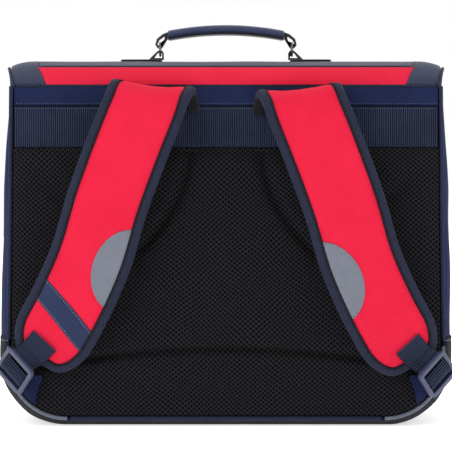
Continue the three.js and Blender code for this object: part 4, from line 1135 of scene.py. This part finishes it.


# Binding: navy grosgrain folded over the strap's edge, finely ribbed and matt. A darker band
# along its inner side is painted shade in the groove there, and at the strap's root black lining
# cloth takes its place, partly the strap's black underside and partly painted shade
binding_tape = bias_tape("Navy grosgrain binding", "#1d2032", "#292d44", 0.7, 0.06)
binding_groove_shade = bias_tape("Painted shade in the binding's inner groove", "#0e1018", "#171a26", 0.8, 0.0)
groove_shade_columns = 3
binding_shape = [
    {"inset": binding_width, "lift": 0.15}, {"inset": binding_width - 0.7 * mm, "lift": 1.0},
    {"inset": binding_width - 1.6 * mm, "lift": 0.62}, {"inset": binding_width - 2.5 * mm, "lift": 1.05},
    {"inset": 4.2 * mm, "lift": 1.15}, {"inset": 2.6 * mm, "lift": 1.05},
    {"inset": 1.3 * mm, "lift": 0.7}, {"inset": 0.35 * mm, "lift": 0.1},
]


def strap_binding(hand, side):
    """The binding round one strap, with painted shade in its inner groove and a black root, partly
    painted shade
    """
    outside = [(row["inset"], 1, soft_gap + binding_wall * row["lift"]) for row in binding_shape]
    outside += [(0, 0, 0)] + [(inset, -1, lift) for inset, _, lift in outside[::-1]]
    inside = [(binding_width, -1, soft_gap * 0.6), (core_inset - soft_gap * 0.6, -1, soft_gap * 0.4),
              (core_inset - soft_gap * 0.6, 1, soft_gap * 0.4), (binding_width, 1, soft_gap * 0.6)]
    rings = []
    for inset, face, layer in outside + inside:
        place = strap_edge + edge_inwards * inset
        half = strap_half_thickness(place[:, 0], place[:, 1])
        rings.append(strap_points(side, place[:, 0], place[:, 1], face * (half + layer)))
    tape = loft(f"strap_binding_tape_{hand}", np.array(rings).transpose(1, 0, 2), binding_tape, 60)
    for finish in (binding_groove_shade, lining):
        tape.data.materials.append(finish)
    for polygon in tape.data.polygons:
        _, depth, height = polygon.center
        # At the root the tape takes the black lining: partly the strap's black underside, partly painted
        # shade
        if depth > band_face - shaded_root_reach and height > strap_root - shaded_root_reach:
            polygon.material_index = 2
        # The columns along the inner groove take the darker finish: painted shade
        elif polygon.index % len(rings) < groove_shade_columns:
            polygon.material_index = 1
    return tape


# Patches: glass-bead reflective cloth cut as a half disc, an even satin grey, and a plain navy
# label band on the left strap with a slight bloom, each laid on the strap and sewn
reflective_cloth = new_finish(
    "Grey reflective cloth", {"Roughness": 0.5, "Specular IOR Level": 0.25},
    colour=lambda tree: uneven(tree, "#6a6f7a", "#767b87", 12 * mm),
    height=lambda tree: weave(tree, 0.9 * mm, 0.3), depth=0.08 * mm)
patch_wall = 0.8 * mm
reflector_length = 66 * mm
reflector_depth = 24 * mm
reflector_place = 104.5 * mm
right_reflector_drop = 8 * mm
label_place = 50 * mm
label_width = 21 * mm
label_skew = 0.42
strap_face = strap_thickness / 2 + gap
tucked_in = 0.5 * mm
patch_reach = strap_width / 2 - binding_width + tucked_in


def patch_face(length, across, lift):
    """Lift of a patch over the strap's own face"""
    return strap_half_thickness(length, across) + gap + lift


def strap_patch(name, side, length, across, finish):
    """A patch laid on a strap at those places, thinner at its edges"""
    along = np.linspace(-1, 1, length.shape[0])[:, None]
    beside = np.linspace(-1, 1, length.shape[1])[None, :]
    edge = np.minimum(np.minimum(1 - np.abs(along), 1 - np.abs(beside)) * 8, 1)
    faces = [strap_points(side, length, across, patch_face(length, across, lift))
             for lift in (patch_wall * (0.4 + 0.6 * edge), 0)]
    return two_faced(name, *faces, finish)


def reflector_places(side, inset, shares, steps):
    """Places on the half disc, drawn in by inset"""
    along, step = np.meshgrid(shares, steps, indexing="ij")
    depth = np.maximum(0.02, 1 - along ** 2) ** 0.62 * (reflector_depth - inset)
    middle = strap_length - reflector_place + (right_reflector_drop if side > 0 else 0)
    length = middle + (reflector_length / 2 - inset) * along
    return length, patch_reach - inset * 0.4 - depth * step


# Adjusters: a webbing tab sewn on the strap's end, a ladder-lock buckle, and the lower webbing
# that threads through it and runs to the corner of the body
webbing_width = 26 * mm
webbing_wall = 1.6 * mm
tab_place = 22 * mm
tab_offset = -4 * mm
tab_angle = 14
buckle_reach = 34 * mm
buckle_length = 29 * mm
buckle_thickness = 4.5 * mm
buckle_frame = 4 * mm
buckle_bar = 4.4 * mm
webbing_yaw = 30
lower_reach = 21 * mm
lower_tuck = 9 * mm
yaw_start = tab_place * 0.7
yaw_end = buckle_reach - buckle_length / 2 + 1 * mm
end_half = float(strap_half_thickness(np.array([strap_length - binding_width]), np.array([0.0]))[0])
over_binding = end_half + soft_gap + binding_wall + gap
buckle_lift = over_binding + webbing_wall + gap + buckle_thickness / 2
over_buckle = buckle_lift + buckle_thickness / 2 + gap
slot_middle = (buckle_bar / 2 + buckle_length / 2 - buckle_frame) / 2
last_bar = buckle_length / 2 - buckle_frame
tab_stops = [(0, over_binding), (yaw_start, over_binding), (yaw_end - 1 * mm, over_binding - gap),
             (buckle_reach - last_bar + gap, over_binding - gap)]
lower_stops = [
    (buckle_reach - slot_middle, buckle_lift), (buckle_reach - buckle_bar / 2 - gap, over_buckle),
    (buckle_reach + buckle_bar / 2 + gap, over_buckle), (buckle_reach + slot_middle, buckle_lift),
    (buckle_reach + last_bar - gap, over_binding - gap),
    (buckle_reach + buckle_length / 2, over_binding - gap),
    (buckle_reach + lower_reach, strap_face - lower_tuck),
]


def turned(vector, angle):
    """The vector turned about the upright axis"""
    return np.array([vector[0] * math.cos(angle) - vector[1] * math.sin(angle),
                     vector[0] * math.sin(angle) + vector[1] * math.cos(angle), vector[2]])


def webbing_frame(distance, steps=12):
    """Place and directions of the webbing, which turns towards the body's side past the strap"""
    place, along, across, outward = strap_frame(strap_length)
    tilt = math.radians(tab_angle)
    run = along * math.cos(tilt) - across * math.sin(tilt)
    beside = across * math.cos(tilt) + along * math.sin(tilt)
    place = place - along * tab_place + across * tab_offset

    def yaw_at(where):
        return -math.radians(webbing_yaw) * float(eased(where, yaw_start, yaw_end))

    for i in range(steps):
        place = place + turned(run, yaw_at(distance * (i + 0.5) / steps)) * distance / steps
    yaw = yaw_at(distance)
    place = place + outward * webbing_width / 2 * math.sin(-yaw)
    run, beside = turned(run, yaw), turned(beside, yaw)
    return place, run, beside, np.cross(run, beside)


def webbing_strip(name, side, stops):
    """Webbing through the stops, with its ribs across it as pieces of cord"""
    spans = [np.linspace(start[0], end[0], 10)[:-1] for start, end in zip(stops, stops[1:])]
    distances = np.concatenate(spans + [[stops[-1][0]]])
    lifts = np.interp(distances, *zip(*stops))
    for _ in range(3):
        lifts[1:-1] = (lifts[:-2] + 2 * lifts[1:-1] + lifts[2:]) / 4
    top, under, ribs = [], [], []
    travelled, last = 0.0, None
    for distance, lift in zip(distances, lifts):
        place, run, beside, outward = webbing_frame(distance)
        middle = place + outward * lift
        step = np.linspace(-0.5, 0.5, 9)[:, None] * webbing_width * beside
        under.append(middle + step)
        top.append(middle + step + outward * (webbing_wall - rib_radius * 0.7))
        travelled += 0 if last is None else np.linalg.norm(middle - last)
        last = middle
        if travelled >= rib_pitch * 0.9 or not ribs:
            travelled = 0.0
            rib_middle = middle + outward * (webbing_wall - rib_radius * 0.75)
            ribs.append([rib_middle + beside * end * (webbing_width / 2 - rib_end)
                         for end in (-1, 1)])
    top, under, ribs = (on_side(np.array(part), side) for part in (top, under, ribs))
    strip = two_faced(name, top, under, shaded_webbing_nylon)
    webbing_ribs(name + "_ribs", ribs)
    return strip


# Nylon buckle, moulded in navy: satin, with fine mould texture and round bright edges
navy_nylon = moulded("Navy moulded nylon", "#303652", "#434a66", 0.33, 0.25, 0.2, 14 * mm, 0.6 * mm)
label_cloth = woven("Navy label band", "#1f2945", "#29365a", 0.8 * mm, roughness=0.6, sheen=0.3)

for hand, side in hands.items():
    cushion = fit(strap_core(hand, side), "red_cloth", f"strap_pad_{hand}")
    fit(strap_binding(hand, side), "navy_binding", f"strap_binding_{hand}")
    seam = strap_edge + edge_inwards * (binding_width - 1.6 * mm)
    seam_lift = strap_half_thickness(seam[:, 0], seam[:, 1]) + soft_gap + 0.75 * binding_wall
    sew(f"strap_stitches_{hand}", [strap_points(side, seam[:, 0], seam[:, 1], seam_lift)], black_thread,
        "navy_binding", pitch=2.6 * mm, length=2.1 * mm, thickness=0.5 * mm)

    length, across = reflector_places(side, 0, np.linspace(-1, 1, 44), np.linspace(0, 1, 14))
    reflector = strap_patch(f"strap_reflector_cloth_{hand}", side, length, across, reflective_cloth)
    fit(reflector, "grey_reflective", f"strap_reflector_{hand}")
    length, across = reflector_places(side, 1.6 * mm, np.linspace(-0.985, 0.985, 60), [1.0])
    seam = strap_points(side, length, across, patch_face(length, across, patch_wall))[:, 0]
    sew(f"reflector_stitches_{hand}", [seam], grey_thread, "grey_reflective", pitch=2.4 * mm,
        length=1.9 * mm, thickness=0.4 * mm)

    tab = webbing_strip(f"strap_tab_webbing_{hand}", side, tab_stops)
    fit(tab, "navy_webbing", f"strap_tab_{hand}")
    lower = webbing_strip(f"lower_webbing_strap_{hand}", side, lower_stops)
    fit(lower, "navy_webbing", f"lower_webbing_{hand}")
    rounded(f"buckle_cast_{hand}", f"buckle_{hand}", 1.1 * mm, navy_nylon, "navy_plastic", segments=4)

# Label band: two lines of stitches hold it along its edges
shares = np.linspace(-1, 1, 40)
rows = np.linspace(-0.5, 0.5, 14)
middle = strap_length - label_place + label_width * rows[:, None]
corner = middle + patch_reach * shares[None, :] * label_skew
limit = strap_half_width(corner) - binding_width + tucked_in
label_across = limit * shares
label_length = middle + label_across * label_skew
label = strap_patch("strap_label_cloth_left", -1, label_length, label_across, label_cloth)
fit(label, "navy_cloth", "strap_label_left")
label_lift = patch_face(label_length, label_across, patch_wall)
label_face = strap_points(-1, label_length, label_across, label_lift)
sew("label_stitches", [label_face[1], label_face[-2]], grey_thread, "navy_cloth",
    pitch=2.6 * mm, length=2 * mm, thickness=0.4 * mm)

# Corner tabs: triangles of folded navy cloth sewn into the lower back corners, which hold the
# webbing to the body
corner_tab_wall = 1.4 * mm
corner_tab_reach = 26 * mm
corner_tab_rows = [(20, 0.5), (28, 0.85), (36, 0.8), (44, 0.45), (52, 0.08)]
for hand, side in hands.items():
    degrees, reaches = zip(*corner_tab_rows)
    angle = np.radians(np.linspace(degrees[0], degrees[-1], 30))
    inward = np.interp(np.degrees(angle), degrees, reaches) * corner_tab_reach
    inward = inward[:, None] * np.linspace(1, 0, 16)
    reach = pad_radius - inward
    x = back_half_width - corner_radius + reach * np.cos(angle)[:, None]
    z = seam_rise + corner_radius - reach * np.sin(angle)[:, None]
    out = pad_edge + (pad_thickness - pad_edge) * pad_crown(x, z) + soft_gap
    top = at_depth(side * x, out + corner_tab_wall, z)
    tab = two_faced(f"corner_tab_cloth_{hand}", top, at_depth(side * x, out, z), navy_oxford)
    fit(tab, "navy_cloth", f"corner_tab_{hand}")

# Studio: a plain white floor that runs on behind the satchel, soft light from all round, a wide
# soft light overhead and a weaker one from the front left
camera_distance = 1.7825
camera_height = 0.176
view_width = 0.3978
floor_mesh = bpy.data.meshes.new("floor")
floor_mesh.from_pydata([(-30, -30, 0), (30, -30, 0), (30, 30, 0), (-30, 30, 0)], [], [(0, 1, 2, 3)])
floor_mesh.materials.append(new_finish("Matt white paper", {
    "Roughness": 0.9, "Specular IOR Level": 0.0, "Emission Color": (1, 1, 1, 1),
    "Emission Strength": 0.6}, colour=lambda tree: uneven(tree, "#fbfbfb", "#ffffff", 1.0)))
in_scene("floor", floor_mesh)

# The room is even white, but dimmer behind the camera, so that the black mesh stays black
sky = bpy.data.worlds.new("Soft white room")
sky.use_nodes = True
background = sky.node_tree.nodes["Background"]
background.inputs["Color"].default_value = (1, 1, 1, 1)
direction = add_node(sky.node_tree, "ShaderNodeTexCoord")
facing_camera = add_node(sky.node_tree, "ShaderNodeVectorMath", {
    "operation": "DOT_PRODUCT", 1: (0, -1, 0)}, {0: direction.outputs["Generated"]})
dimmed = add_node(sky.node_tree, "ShaderNodeMapRange", {
    "interpolation_type": "SMOOTHSTEP", "From Min": 0.35, "From Max": 0.95, "To Min": 1.0,
    "To Max": 0.3}, {0: facing_camera.outputs["Value"]})
sky.node_tree.links.new(dimmed.outputs[0], background.inputs["Strength"])
bpy.context.scene.world = sky
bpy.context.scene.view_settings.view_transform = "Standard"
lights = {
    "overhead": {"place": (0.0, -0.1, 1.5), "size": 1.2, "power": 4},
    "front_left": {"place": (-0.9, -1.6, 1.0), "size": 0.8, "power": 7},
}
lamp_target = Vector((0, 0, 0.2))
for name, light in lights.items():
    lamp = bpy.data.lights.new(name, "AREA")
    lamp.size = light["size"]
    lamp.energy = light["power"]
    holder = in_scene(name, lamp)
    holder.location = light["place"]
    aim = lamp_target - holder.location
    holder.rotation_euler = aim.to_track_quat("-Z", "Y").to_euler()

eye = bpy.data.cameras.new("camera")
eye.sensor_width = 36
eye.lens = eye.sensor_width * (camera_distance - body_depth / 2) / view_width
camera = in_scene("camera", eye)
camera.location = (0, -camera_distance, camera_height)
camera.rotation_euler = (math.pi / 2, 0, 0)
bpy.context.scene.camera = camera
